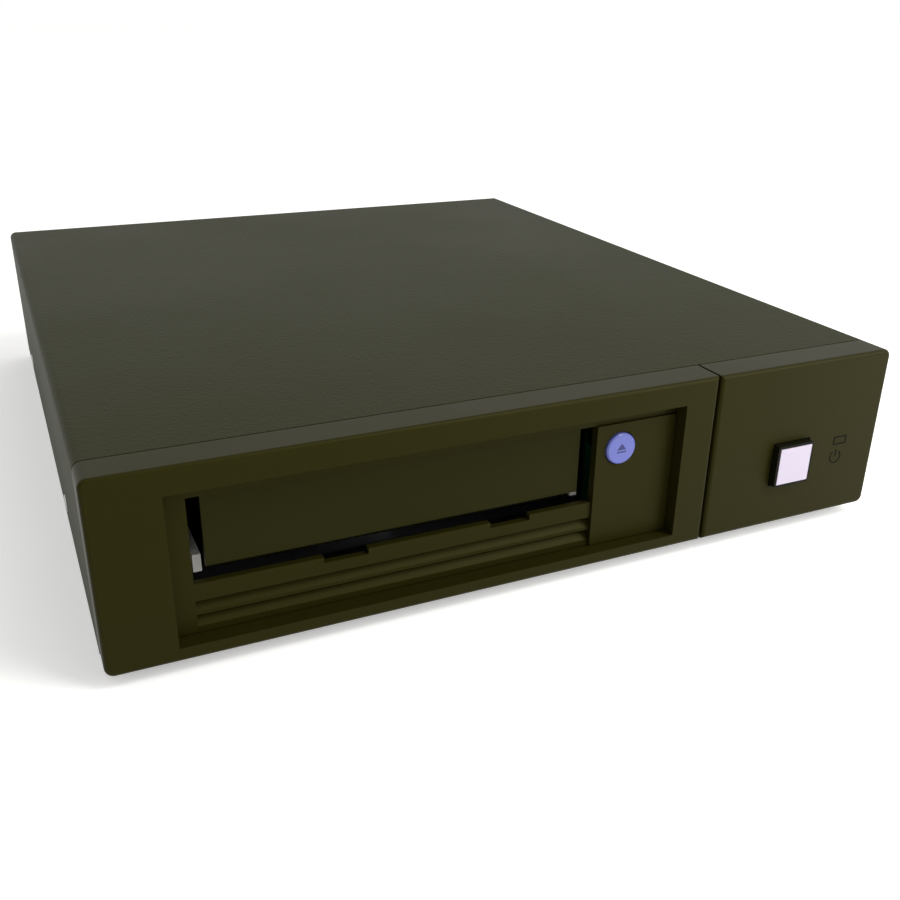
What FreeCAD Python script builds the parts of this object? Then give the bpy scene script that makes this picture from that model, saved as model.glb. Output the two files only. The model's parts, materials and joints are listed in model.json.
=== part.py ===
"""External half-height data tape drive: a desktop enclosure with a tape mechanism, a supply and a fan inside.

Frame: millimetres, +Z up, +Y from the front face to the rear, +X to the right as seen from the front.
The origin is on the surface that the rubber feet stand on, below the middle of the drive.
"""

import FreeCAD, Part
import math
import os

import Sketcher
from FreeCAD import Placement, Rotation, Vector

# Driving dimensions in millimetres, each written once; the sheet's rows say what each one is

TOP_STRIP = 7.4
REAR_SPACE = 63.5
FOOT_TALL = 4
FOOT_RADIUS = 7
FOOT_INSET = 24
STEEL = 1
SLIP = 0.2
BEND = 2.5
BEZEL_DEEP = 11
BEZEL_WALL = 2.4
BEZEL_EDGE = 1.2
BEZEL_CORNER = 2.5
SEAM = 0.5
MIDDLE_POST = 11.2
SPLIT_GAP = 0.8
OPENING_LEFT = 18.3
OPENING_LOW = 4
COLLAR_WALL = 1.6
FLANGE_TALL = 12
RECESS = 5
FIT_GAP = 0.3
FACE_WALL = 2
FACE_RIM = 3.5
RIM_WALL = 1.5
DRIVE_SIDE_GAP = 1.5
DRIVE_OVER_GAP = 0.65
DRIVE_WALL = 1.5
DRIVE_FLOOR = 2.5
SLOT_LEFT = 5.5
SLOT_WIDE = 116
SLOT_LOW = 14.2
SLOT_TALL = 24.2
SLOT_OVER = 3.6
PANEL_WIDE = 26.9
LEDGE_TALL = 5
NOTCH_WIDE = 12.5
NOTCH_DEEP = 1.7
NOTCH_LEFT = 34
NOTCH_RIGHT = 83
PANEL_PROUD = 0.8
SLAT_PITCH = 4.3
SLAT_TALL = 3
SLAT_LIP = 1
DOOR_SIDE = 3.8
DOOR_THICK = 1.8
DOOR_LOW = 2.9
DOOR_PIN = 0.8
PIN_GAP = 0.05
DOOR_BARREL = 1.1
DOOR_BEHIND = 0.4
EAR_THICK = 2
UNLOAD_RADIUS = 4.8
UNLOAD_X = 18.9
UNLOAD_Z = 11.4
UNLOAD_PROUD = 0.9
BUTTON_GAP = 0.35
PRESS_TRAVEL = 1
POWER_SIDE = 13.8
POWER_X = 35.4
POWER_Z = 21.2
POWER_PROUD = 2.5
POWER_TRAVEL = 2
POWER_DEEP = 9.7
POWER_FLANGE = 1
POWER_STEM = 2.5
SWITCH_SIDE = 14
LENS_MARGIN = 0.8
LENS_THICK = 1.5
PORT_WIDE = 24
PORT_TALL = 12
PORT_DEEP = 20
PORT_WALL = 1.2
PORT_LEFT = 26
PORT_PITCH = 34
PORT_LOW = 14
TONGUE_TALL = 1.4
INLET_WIDE = 28
INLET_TALL = 21
INLET_DEEP = 20
INLET_WALL = 1.8
INLET_FLANGE = 2.5
INLET_RIGHT = 32
INLET_LOW = 26
BLADE_THICK = 2
BLADE_WIDE = 4
BLADE_PITCH = 7
FAN_SIDE = 40
FAN_DEEP = 15
FAN_BORE = 18.6
FAN_PITCH = 16
FAN_SCREW = 1.4
FAN_PIN = 1.5
FAN_HUB = 9
FAN_TIP_GAP = 0.8
FAN_FROM_LEFT = 132
GRILLE_BAR = 2.2
GRILLE_SLOT = 3
COVER_SCREW_UP = 7
COVER_SHANK = 1.5
COVER_HEAD = 2.8
SCREW_AHEAD = 50
SCREW_BEHIND = 95
SUPPLY_WIDE = 64
SUPPLY_DEEP = 118
SUPPLY_TALL = 42
SUPPLY_RIGHT = 3.5
SUPPLY_GAP = 4.7
BRACKET_TOE = 7
BOARD_THICK = 1.6
CARRIER_SLACK = 0.4
CARRIER_WALL = 0.8
CARRIER_SHEET = 1.2
CARRIER_DEEP = 98
CARRIER_BACK = 6
CARRIER_DROP = 3.6
CARRIER_PIN = 1.2
CARRIER_PIN_UP = 4
RAIL_WIDE = 2.2
RAIL_TALL = 5
SLIDER_WALL = 1.2
SLIDER_TRAVEL = 12
SLIDER_TALL = 16
GEAR_MODULE = 0.8
GEAR_BORE = 1
HUB_RADIUS = 17.5
HUB_BACK = 54
REEL_RADIUS = 34
REEL_CORE = 18
REEL_GAP = 18.5
REEL_BEHIND = 12.5
REEL_LEFT = 46
TAPE_WIDE = 12.65
REEL_FLANGE_THICK = 1.2
ROLLER_RADIUS = 5
ROLLER_PIN = 1.5
HEAD_ROD = 1.5
HEAD_TALL = 8
ARM_LONG = 44
ARM_THICK = 1.4
ARM_PIN = 2

doc = FreeCAD.newDocument("tape_drive")
sheet = doc.addObject("Spreadsheet::Sheet", "dim")
nodes = []
rows = []

ALONG_X = Rotation(Vector(0, 1, 0), 90)
ALONG_Y = Rotation(Vector(1, 0, 0), -90)
UPRIGHT = Rotation()


class Size:
    """A number with the sheet formula that gives it, so that sums of sizes stay bound to the sheet."""

    def __init__(self, text, value):
        self.text = text
        self.value = value

    def joined(self, sign, other, value):
        return Size(f"({self.text} {sign} {as_size(other).text})", value)

    def __add__(self, other):
        return self.joined("+", other, self.value + as_size(other).value)

    def __sub__(self, other):
        return self.joined("-", other, self.value - as_size(other).value)

    def __mul__(self, other):
        return self.joined("*", other, self.value * as_size(other).value)

    def __truediv__(self, other):
        return self.joined("/", other, self.value / as_size(other).value)

    def __radd__(self, other):
        return as_size(other) + self

    def __rsub__(self, other):
        return as_size(other) - self

    def __rmul__(self, other):
        return as_size(other) * self

    def __neg__(self):
        return Size(f"(0 - {self.text})", -self.value)


def as_size(number):
    """Any number as a Size."""
    return number if isinstance(number, Size) else Size(repr(float(number)), float(number))


def driving(name, value, what):
    """A driving dimension: one row of the sheet, with its name as the cell's alias."""
    row = len(rows) + 1
    rows.append(name)
    sheet.set(f"A{row}", what)
    sheet.set(f"B{row}", str(value))
    sheet.setAlias(f"B{row}", name)
    return Size(f"dim.{name}", float(value))


def bind(obj, prop, size):
    """Binds one property to a size of the sheet."""
    obj.setExpression(prop, as_size(size).text)


def place(obj, x, y, z, turn=UPRIGHT):
    """Turns an object and binds its place to the sheet."""
    x, y, z = as_size(x), as_size(y), as_size(z)
    obj.Placement = Placement(Vector(x.value, y.value, z.value), turn)
    for axis, size in (("x", x), ("y", y), ("z", z)):
        bind(obj, f"Placement.Base.{axis}", size)
    return obj


def node(obj, label):
    """Marks a finished sub-part, whose label names its file."""
    obj.Label = label
    nodes.append(obj)
    return obj


# Part primitives


def block(name, x, y, z):
    """A box from its low and high limits along each axis."""
    obj = doc.addObject("Part::Box", name)
    for prop, (low, high) in (("Length", x), ("Width", y), ("Height", z)):
        bind(obj, prop, as_size(high) - low)
    return place(obj, x[0], y[0], z[0])


def rod(name, radius, length, x, y, z, turn=UPRIGHT):
    """A cylinder that starts at a point and runs along the turned axis."""
    obj = doc.addObject("Part::Cylinder", name)
    bind(obj, "Radius", radius)
    bind(obj, "Height", length)
    return place(obj, x, y, z, turn)


def fused(name, *shapes):
    obj = doc.addObject("Part::MultiFuse", name)
    obj.Shapes = list(shapes)
    return obj


def less(name, base, *tools):
    """A solid with one or more tools cut away."""
    obj = doc.addObject("Part::Cut", name)
    obj.Base = base
    obj.Tool = tools[0] if len(tools) == 1 else fused(name + "_tools", *tools)
    return obj


def group(name, shapes):
    """Like pieces kept as separate solids of one sub-part."""
    obj = doc.addObject("Part::Compound", name)
    obj.Links = list(shapes)
    return obj


# PartDesign features


def body(name):
    return doc.addObject("PartDesign::Body", name)


def rectangle(x0, y0, x1, y1):
    return [(x0, y0), (x1, y0), (x1, y1), (x0, y1)]


def draw_outline(sketch, corners):
    """A closed outline of straight lines whose corners are bound to the sheet."""
    count = len(corners)
    corners = [(as_size(x), as_size(y)) for x, y in corners]
    ends = [Vector(x.value, y.value, 0) for x, y in corners]
    lines = [
        sketch.addGeometry(Part.LineSegment(ends[i], ends[(i + 1) % count]), False)
        for i in range(count)
    ]
    for i in range(count):
        sketch.addConstraint(Sketcher.Constraint("Coincident", lines[i], 2, lines[(i + 1) % count], 1))
    for line, (x, y) in zip(lines, corners):
        for kind, size in (("DistanceX", x), ("DistanceY", y)):
            index = sketch.addConstraint(Sketcher.Constraint(kind, line, 1, size.value))
            bind(sketch, f"Constraints[{index}]", size)


def draw_circle(sketch, x, y, radius):
    """A circle whose centre and radius are bound to the sheet."""
    x, y, radius = as_size(x), as_size(y), as_size(radius)
    circle = sketch.addGeometry(Part.Circle(Vector(x.value, y.value, 0), Vector(0, 0, 1), radius.value), False)
    for kind, size in (("DistanceX", x), ("DistanceY", y)):
        index = sketch.addConstraint(Sketcher.Constraint(kind, circle, 3, size.value))
        bind(sketch, f"Constraints[{index}]", size)
    index = sketch.addConstraint(Sketcher.Constraint("Radius", circle, radius.value))
    bind(sketch, f"Constraints[{index}]", radius)


def sketch_on(owner, name, plane, level, loops):
    """A sketch on one of the body's own planes, moved to a level. A loop is an outline or (x, y, radius)."""
    sketch = owner.newObject("Sketcher::SketchObject", name)
    support = next(o for o in owner.Origin.OriginFeatures if o.Role == plane + "_Plane")
    sketch.AttachmentSupport = [(support, "")]
    sketch.MapMode = "FlatFace"
    bind(sketch, "AttachmentOffset.Base.z", -as_size(level) if plane == "XZ" else level)
    for loop in loops:
        if isinstance(loop, tuple):
            draw_circle(sketch, *loop)
        else:
            draw_outline(sketch, loop)
    return sketch


def pad(owner, name, plane, low, high, *loops):
    """Adds material between two levels. The XZ plane's own normal points to -Y, so it starts at the high one."""
    start = high if plane == "XZ" else low
    feature = owner.newObject("PartDesign::Pad", name)
    feature.Profile = sketch_on(owner, name + "_sketch", plane, start, loops)
    bind(feature, "Length", as_size(high) - low)
    return feature


def pocket(owner, name, plane, low, high, *loops):
    """Cuts between two levels, against the sketch's normal, and proves that it cut something."""
    start = low if plane == "XZ" else high
    doc.recompute()
    before = owner.Shape.Volume
    feature = owner.newObject("PartDesign::Pocket", name)
    feature.Profile = sketch_on(owner, name + "_sketch", plane, start, loops)
    bind(feature, "Length", as_size(high) - low)
    doc.recompute()
    if owner.Shape.Volume > before - 1e-6:
        raise ValueError(f"{name} cuts nothing")
    return feature


def turned(owner, name, profile):
    """A full turn of a profile of (radius, height) about the body's own Z axis."""
    feature = owner.newObject("PartDesign::Revolution", name)
    sketch = sketch_on(owner, name + "_sketch", "XZ", 0, [profile])
    feature.Profile = sketch
    feature.ReferenceAxis = (sketch, ["V_Axis"])
    feature.Angle = 360
    return feature


def rounded(owner, name, radius, wanted):
    """Rounds the edges that wanted(edge) picks."""
    doc.recompute()
    base = owner.Tip
    picked = [f"Edge{i + 1}" for i, edge in enumerate(base.Shape.Edges) if wanted(edge)]
    feature = owner.newObject("PartDesign::Fillet", name)
    feature.Base = (base, picked)
    bind(feature, "Radius", radius)
    return feature


def runs_along(edge, axis):
    """True for a straight edge along one axis of the frame."""
    if edge.Curve.TypeId != "Part::GeomLine":
        return False
    return abs(getattr(edge.Curve.Direction, axis)) > 0.999


def middle(edge):
    return edge.BoundBox.Center


def near(a, b):
    return abs(a - as_size(b).value) < 0.02


# Enclosure sizes

foot_tall = driving("foot_tall", FOOT_TALL, "height of a rubber foot")
foot_radius = driving("foot_radius", FOOT_RADIUS, "radius of a rubber foot")
foot_inset = driving("foot_inset", FOOT_INSET, "foot centre from the body's sides and ends")
steel = driving("steel", STEEL, "sheet steel of the tray and the cover")
slip = driving("slip", SLIP, "clearance between sheet parts that slide together")
bend = driving("bend", BEND, "outer radius of the cover's bends")
bezel_deep = driving("bezel_deep", BEZEL_DEEP, "depth of the moulded front")
bezel_wall = driving("bezel_wall", BEZEL_WALL, "wall of the moulded front")
bezel_edge = driving("bezel_edge", BEZEL_EDGE, "rounding of the front's outer edges")
bezel_corner = driving("bezel_corner", BEZEL_CORNER, "rounding of the front's outer corners")
seam = driving("seam", SEAM, "joint line between the front and the cover")
middle_post = driving("middle_post", MIDDLE_POST, "from the drive opening to the split between the mouldings")
split_gap = driving("split_gap", SPLIT_GAP, "width of that split")
top_strip = driving("top_strip", TOP_STRIP, "from the drive opening to the top of the cover")
rear_space = driving("rear_space", REAR_SPACE, "from the drive's rear to the enclosure's rear wall")
opening_left = driving("opening_left", OPENING_LEFT, "from the body's left side to the drive opening")
opening_low = driving("opening_low", OPENING_LOW, "from the body's underside to the drive opening")
collar_wall = driving("collar_wall", COLLAR_WALL, "wall of the collar round the drive opening")
flange_tall = driving("flange_tall", FLANGE_TALL, "height of the tray's side flanges")
recess = driving("recess", RECESS, "how far the drive's face sits behind the front")
fit_gap = driving("fit_gap", FIT_GAP, "gap round the drive's face in its opening")
face_rim = driving("face_rim", FACE_RIM, "depth of the rim round the drive's face")
slot_left = driving("slot_left", SLOT_LEFT, "post between the face's left edge and the slot")
slot_wide = driving("slot_wide", SLOT_WIDE, "width of the cartridge slot")
slot_low = driving("slot_low", SLOT_LOW, "from the face's lower edge to the slot's ledge")
slot_tall = driving("slot_tall", SLOT_TALL, "height of the cartridge slot")
carrier_deep = driving("carrier_deep", CARRIER_DEEP, "depth of the cartridge carrier")
reel_radius = driving("reel_radius", REEL_RADIUS, "radius of the take-up reel's flanges")
supply_wide = driving("supply_wide", SUPPLY_WIDE, "width of the power supply")
supply_right = driving("supply_right", SUPPLY_RIGHT, "power supply from the body's right side")
slot_over = driving("slot_over", SLOT_OVER, "from the slot to the face's upper edge")
panel_wide = driving("panel_wide", PANEL_WIDE, "button panel between the slot and the face's right edge")
drive_side_gap = driving("drive_side_gap", DRIVE_SIDE_GAP, "from the drive's body to the side of its opening")
drive_over_gap = driving("drive_over_gap", DRIVE_OVER_GAP, "from the drive's body to the top of its opening")
carrier_back = driving("carrier_back", CARRIER_BACK, "from the face's rim to the cartridge carrier")
reel_gap = driving("reel_gap", REEL_GAP, "from the carrier to the take-up reel")
reel_behind = driving("reel_behind", REEL_BEHIND, "from the take-up reel to the drive's rear")
bracket_toe = driving("bracket_toe", BRACKET_TOE, "reach of a bracket's toe from the drive's side")
supply_gap = driving("supply_gap", SUPPLY_GAP, "from that toe to the power supply")

# The body is as large as the drive, the supply and the fan need

opening_wide = slot_left + slot_wide + panel_wide + fit_gap * 2
opening_tall = slot_low + slot_tall + slot_over + fit_gap * 2
drive_wide = opening_wide - drive_side_gap * 2
drive_tall = opening_tall - drive_over_gap * 2
drive_deep = carrier_back + carrier_deep + reel_gap + reel_radius * 2 + reel_behind
beside_drive = bracket_toe + supply_gap + supply_wide + supply_right
wide = opening_left + drive_side_gap + drive_wide + beside_drive
deep = recess + face_rim + drive_deep + rear_space
tall = foot_tall + opening_low + opening_tall + top_strip

left, right = -wide / 2, wide / 2
front, rear = -deep / 2, deep / 2
bezel_back = front + bezel_deep
tray_left, tray_right = left + steel + slip, right - steel - slip
tray_floor = foot_tall + steel
tray_top = tall - steel
open_x = (left + opening_left, left + opening_left + opening_wide)
open_z = (foot_tall + opening_low, foot_tall + opening_low + opening_tall)
split_at = open_x[1] + middle_post

# Drive sizes

face_wall = driving("face_wall", FACE_WALL, "wall of the drive's moulded face")
rim_wall = driving("rim_wall", RIM_WALL, "upper and lower wall of that rim")
drive_wall = driving("drive_wall", DRIVE_WALL, "side walls of the drive's base")
drive_floor = driving("drive_floor", DRIVE_FLOOR, "floor of the drive's base")
ledge_tall = driving("ledge_tall", LEDGE_TALL, "height of the ledge below the slot")
notch_wide = driving("notch_wide", NOTCH_WIDE, "width of a notch in the ledge")
notch_deep = driving("notch_deep", NOTCH_DEEP, "depth of a notch in the ledge")
notch_left = driving("notch_left", NOTCH_LEFT, "left notch from the slot's left end")
notch_right = driving("notch_right", NOTCH_RIGHT, "right notch from the slot's left end")
panel_proud = driving("panel_proud", PANEL_PROUD, "how far the button panel stands in front of the ledge")
slat_pitch = driving("slat_pitch", SLAT_PITCH, "spacing of the vent slats")
slat_tall = driving("slat_tall", SLAT_TALL, "height of a vent slat")
slat_lip = driving("slat_lip", SLAT_LIP, "upright front edge of a slat")

face_front = front + recess
face_back = face_front + face_wall
rim_back = face_front + face_rim
face_x = (open_x[0] + fit_gap, open_x[1] - fit_gap)
face_z = (open_z[0] + fit_gap, open_z[1] - fit_gap)
drive_middle = (open_x[0] + open_x[1]) / 2
body_x = (drive_middle - drive_wide / 2, drive_middle + drive_wide / 2)
body_z = ((open_z[0] + open_z[1]) / 2 - drive_tall / 2, (open_z[0] + open_z[1]) / 2 + drive_tall / 2)
drive_rear = rim_back + drive_deep
slot_x = (face_x[0] + slot_left, face_x[0] + slot_left + slot_wide)
slot_z = (face_z[0] + slot_low, face_z[0] + slot_low + slot_tall)
slot_middle = (slot_x[0] + slot_x[1]) / 2
floor_top = body_z[0] + drive_floor

# Door, buttons and their clearances

door_side = driving("door_side", DOOR_SIDE, "open strip at each end of the door")
door_thick = driving("door_thick", DOOR_THICK, "thickness of the door")
door_low = driving("door_low", DOOR_LOW, "open strip under the door")
door_pin = driving("door_pin", DOOR_PIN, "radius of the door's hinge pins")
pin_gap = driving("pin_gap", PIN_GAP, "running clearance round a pin or shaft")
door_barrel = driving("door_barrel", DOOR_BARREL, "radius of the door's hinge barrel")
door_behind = driving("door_behind", DOOR_BEHIND, "gap between the face's wall and the door")
ear_thick = driving("ear_thick", EAR_THICK, "thickness of a hinge ear")
unload_radius = driving("unload_radius", UNLOAD_RADIUS, "radius of the unload button")
unload_x = driving("unload_x", UNLOAD_X, "unload button from the face's right edge")
unload_z = driving("unload_z", UNLOAD_Z, "unload button from the face's upper edge")
unload_proud = driving("unload_proud", UNLOAD_PROUD, "how far the unload button stands out")
button_gap = driving("button_gap", BUTTON_GAP, "clearance round a button")
press_travel = driving("press_travel", PRESS_TRAVEL, "travel of the unload button")
power_side = driving("power_side", POWER_SIDE, "side of the square power button")
power_x = driving("power_x", POWER_X, "power button from the body's right side")
power_z = driving("power_z", POWER_Z, "power button from the body's underside")
power_proud = driving("power_proud", POWER_PROUD, "how far the power button stands out")
power_travel = driving("power_travel", POWER_TRAVEL, "travel of the power button")
power_deep = driving("power_deep", POWER_DEEP, "depth of the power button's cap ahead of its flange")
power_flange = driving("power_flange", POWER_FLANGE, "flange that keeps the power button in its guide")
power_stem = driving("power_stem", POWER_STEM, "radius of the power button's stem")
switch_side = driving("switch_side", SWITCH_SIDE, "side of the push switch")
lens_margin = driving("lens_margin", LENS_MARGIN, "black border round the button's lens")
lens_thick = driving("lens_thick", LENS_THICK, "thickness of the button's lens")

door_x = (slot_x[0] + door_side, slot_x[1] - door_side)
door_y = (face_back + door_behind, face_back + door_behind + door_thick)
hinge_y = door_y[0] + door_barrel
hinge_z = slot_z[1] + door_behind
unload_at = (face_x[1] - unload_x, face_z[1] - unload_z)
power_at = (right - power_x, foot_tall + power_z)
power_half = power_side / 2
button_front = front - power_proud


def make_tray():
    """The sheet-steel base: floor, low side flanges, a front wall behind the mouldings and a rear wall."""
    tray = body("tray")
    pad(tray, "tray_block", "XY", foot_tall, tray_top, rectangle(tray_left, bezel_back, tray_right, rear))
    inside = rectangle(tray_left + steel, bezel_back + steel, tray_right - steel, rear - steel)
    pocket(tray, "tray_inside", "XY", tray_floor, tray_top, inside)
    sides = rectangle(bezel_back + steel, tray_floor + flange_tall, rear - steel, tray_top)
    pocket(tray, "tray_sides", "YZ", tray_left, tray_right, sides)
    clip = bend - steel
    left_clip = [(tray_left, tray_top - clip), (tray_left + clip, tray_top), (tray_left, tray_top)]
    right_clip = [(tray_right, tray_top), (tray_right - clip, tray_top), (tray_right, tray_top - clip)]
    pocket(tray, "tray_clipped_corners", "XZ", bezel_back, rear, left_clip, right_clip)
    window = rectangle(open_x[0], open_z[0] - fit_gap, open_x[1], open_z[1] + fit_gap)
    switch_half = power_half + 2
    switch_window = rectangle(
        power_at[0] - switch_half, power_at[1] - switch_half, power_at[0] + switch_half, power_at[1] + switch_half
    )
    pocket(tray, "tray_front_windows", "XZ", bezel_back, bezel_back + steel, window, switch_window)
    openings = [port_window(side) for side in PORT_SIDES]
    openings.append(inlet_window())
    openings += grille_slots()
    pocket(tray, "tray_rear_windows", "XZ", rear - steel, rear, *openings)
    screw_holes = [(fan_x + sx * fan_pitch, fan_z + sz * fan_pitch, fan_screw + slip) for sx, sz in CORNERS]
    pocket(tray, "tray_fan_holes", "XZ", rear - steel, rear, *screw_holes)
    side_holes = [(y, cover_screw_z, cover_shank + pin_gap) for y in cover_screw_y]
    pocket(tray, "tray_cover_holes", "YZ", tray_left, tray_right, *side_holes)
    return node(tray, "base_tray")


def make_cover():
    """The painted steel cover: a top with two bent-down sides."""
    cover = body("cover")
    inner_top = tall - steel
    outline = [
        (left, foot_tall),
        (left + steel, foot_tall),
        (left + steel, inner_top),
        (right - steel, inner_top),
        (right - steel, foot_tall),
        (right, foot_tall),
        (right, tall),
        (left, tall),
    ]
    pad(cover, "cover_sheet", "XZ", bezel_back + seam, rear, outline)
    holes = [(y, cover_screw_z, cover_head + slip) for y in cover_screw_y]
    pocket(cover, "cover_screw_holes", "YZ", left, right, *holes)

    def outer_bend(edge):
        return runs_along(edge, "y") and near(middle(edge).z, tall)

    def inner_bend(edge):
        return runs_along(edge, "y") and near(middle(edge).z, inner_top)

    rounded(cover, "cover_outer_bends", bend, outer_bend)
    rounded(cover, "cover_inner_bends", bend - steel, inner_bend)
    return node(cover, "top_cover")


def bezel_shell(name, x):
    """A hollow moulding open at the back, rounded along its outer front edges."""
    shell = body(name)
    pad(shell, name + "_block", "XZ", front, bezel_back, rectangle(x[0], foot_tall, x[1], tall))
    outer = left if x[0] is left else right

    def outer_corner(edge):
        return runs_along(edge, "y") and near(middle(edge).x, outer)

    def front_edge(edge):
        return near(edge.BoundBox.YMin, front) and near(edge.BoundBox.YMax, front)

    rounded(shell, name + "_corners", bezel_corner, outer_corner)
    rounded(shell, name + "_edges", bezel_edge, front_edge)
    inside = rectangle(x[0] + bezel_wall, foot_tall + bezel_wall, x[1] - bezel_wall, tall - bezel_wall)
    pocket(shell, name + "_inside", "XZ", front + bezel_wall, bezel_back, inside)
    return shell


def make_bezel_left():
    """The drive-side moulding, with a collar round the drive opening."""
    shell = bezel_shell("bezel_drive", (left, split_at - split_gap / 2))
    collar_back = face_front + face_wall
    collar = rectangle(
        open_x[0] - collar_wall, open_z[0] - collar_wall, open_x[1] + collar_wall, open_z[1] + collar_wall
    )
    pad(shell, "bezel_drive_collar", "XZ", front + bezel_wall, collar_back, collar)
    opening = rectangle(open_x[0], open_z[0], open_x[1], open_z[1])
    pocket(shell, "bezel_drive_opening", "XZ", front, collar_back, opening)
    return node(shell, "front_bezel_left")


def make_bezel_right():
    """The power-side moulding, with a square guide for the button."""
    shell = bezel_shell("bezel_power", (split_at + split_gap / 2, right))
    guide = power_half + button_gap
    outside = guide + collar_wall
    guide_back = button_front + power_deep - button_gap
    px, pz = power_at
    pad(
        shell,
        "bezel_power_guide",
        "XZ",
        front + bezel_wall,
        guide_back,
        rectangle(px - outside, pz - outside, px + outside, pz + outside),
    )
    hole = rectangle(px - guide, pz - guide, px + guide, pz + guide)
    pocket(shell, "bezel_power_hole", "XZ", front, guide_back, hole)
    return node(shell, "front_bezel_right")


# Rear panel: two data ports, a mains inlet and a fan

PORT_SIDES = (0, 1)
CORNERS = ((-1, -1), (1, -1), (1, 1), (-1, 1))
port_wide = driving("port_wide", PORT_WIDE, "outer width of a data port")
port_tall = driving("port_tall", PORT_TALL, "outer height of a data port")
port_deep = driving("port_deep", PORT_DEEP, "depth of a data port")
port_wall = driving("port_wall", PORT_WALL, "wall of a data port")
port_left = driving("port_left", PORT_LEFT, "first port from the body's left side")
port_pitch = driving("port_pitch", PORT_PITCH, "spacing of the two data ports")
port_low = driving("port_low", PORT_LOW, "data ports above the tray's floor")
tongue_tall = driving("tongue_tall", TONGUE_TALL, "contact tongue inside a port")
inlet_wide = driving("inlet_wide", INLET_WIDE, "outer width of the mains inlet")
inlet_tall = driving("inlet_tall", INLET_TALL, "outer height of the mains inlet")
inlet_deep = driving("inlet_deep", INLET_DEEP, "depth of the mains inlet behind the wall")
inlet_wall = driving("inlet_wall", INLET_WALL, "wall of the mains inlet")
inlet_flange = driving("inlet_flange", INLET_FLANGE, "lip of the mains inlet, proud of the rear wall")
inlet_right = driving("inlet_right", INLET_RIGHT, "mains inlet from the body's right side")
inlet_low = driving("inlet_low", INLET_LOW, "middle of the mains inlet above the tray's floor")
blade_thick = driving("blade_thick", BLADE_THICK, "thickness of an inlet blade")
blade_wide = driving("blade_wide", BLADE_WIDE, "width of an inlet blade")
blade_pitch = driving("blade_pitch", BLADE_PITCH, "spacing of the inlet blades")
fan_side = driving("fan_side", FAN_SIDE, "side of the fan")
fan_deep = driving("fan_deep", FAN_DEEP, "depth of the fan")
fan_bore = driving("fan_bore", FAN_BORE, "radius of the fan's bore")
fan_pitch = driving("fan_pitch", FAN_PITCH, "fan screws from the fan's axis")
fan_screw = driving("fan_screw", FAN_SCREW, "radius of a fan screw")
fan_pin = driving("fan_pin", FAN_PIN, "radius of the fan's shaft")
fan_hub = driving("fan_hub", FAN_HUB, "radius of the fan's hub")
fan_tip_gap = driving("fan_tip_gap", FAN_TIP_GAP, "gap between the blades and the bore")
fan_from_left = driving("fan_from_left", FAN_FROM_LEFT, "fan's axis from the body's left side")
grille_bar = driving("grille_bar", GRILLE_BAR, "bar between two grille slots")
grille_slot = driving("grille_slot", GRILLE_SLOT, "width of a grille slot")
cover_screw_z = foot_tall + driving("cover_screw_up", COVER_SCREW_UP, "cover screws above the body's underside")
cover_shank = driving("cover_shank", COVER_SHANK, "radius of a cover screw's shank")
cover_head = driving("cover_head", COVER_HEAD, "radius of a cover screw's head")
screw_ahead = driving("screw_ahead", SCREW_AHEAD, "front cover screws ahead of the middle")
screw_behind = driving("screw_behind", SCREW_BEHIND, "rear cover screws behind the middle")
cover_screw_y = (-screw_ahead, screw_behind)
fan_x = left + fan_from_left
fan_z = tray_floor + 1.5 + fan_side / 2
port_z = tray_floor + port_low
inlet_at = (right - inlet_right, tray_floor + inlet_low)


def port_middle(side):
    return left + port_left + side * port_pitch


def port_window(side):
    half = port_wide / 2 + slip
    x = port_middle(side)
    return rectangle(x - half, port_z - slip, x + half, port_z + port_tall + slip)


def inlet_window():
    x, z = inlet_at
    half_wide, half_tall = inlet_wide / 2 + slip, inlet_tall / 2 + slip
    return rectangle(x - half_wide, z - half_tall, x + half_wide, z + half_tall)


def grille_slots():
    """Upright slots within the fan's bore, shorter towards its sides."""
    slots = []
    for step in (-2, -1, 0, 1, 2):
        x = fan_x + step * (grille_bar + grille_slot)
        half = fan_bore - 3 - abs(step) * 1.6
        slots.append(rectangle(x - grille_slot / 2, fan_z - half, x + grille_slot / 2, fan_z + half))
    return slots


def make_ports():
    """Two shielded data ports, each an open cage with a contact tongue."""
    cages = []
    tongues = []
    for side in PORT_SIDES:
        x = port_middle(side)
        half = port_wide / 2
        y = (rear - port_deep, rear + 1)
        outer = block(f"port_{side}", (x - half, x + half), y, (port_z, port_z + port_tall))
        inner = block(
            f"port_{side}_mouth",
            (x - half + port_wall, x + half - port_wall),
            (y[0] + 3, y[1] + 1),
            (port_z + port_wall, port_z + port_tall - port_wall),
        )
        cages.append(less(f"port_{side}_cage", outer, inner))
        tongue_z = port_z + port_wall + 1.2
        tongues.append(
            block(
                f"port_{side}_tongue",
                (x - half + port_wall + 2, x + half - port_wall - 2),
                (y[0] + 3, rear - 4),
                (tongue_z, tongue_z + tongue_tall),
            )
        )
    node(group("port_cages", cages), "data_ports")
    board_x = (port_middle(0) - port_wide / 2 - 3, port_middle(1) + port_wide / 2 + 3)
    board_y = (rear - port_deep - 8, rear - steel - 1)
    board = block("port_board_sheet", board_x, board_y, (port_z - board_thick, port_z))
    posts = [
        rod(f"port_board_post_{index}", 2.5, port_z - board_thick - tray_floor, px, py, tray_floor)
        for index, (px, py) in enumerate(
            (px, py) for px in (board_x[0] + 4, board_x[1] - 4) for py in (board_y[0] + 4, board_y[1] - 4)
        )
    ]
    node(fused("port_board_solid", board, *posts), "port_board")
    return node(group("port_tongues", tongues), "port_contacts")


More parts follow.
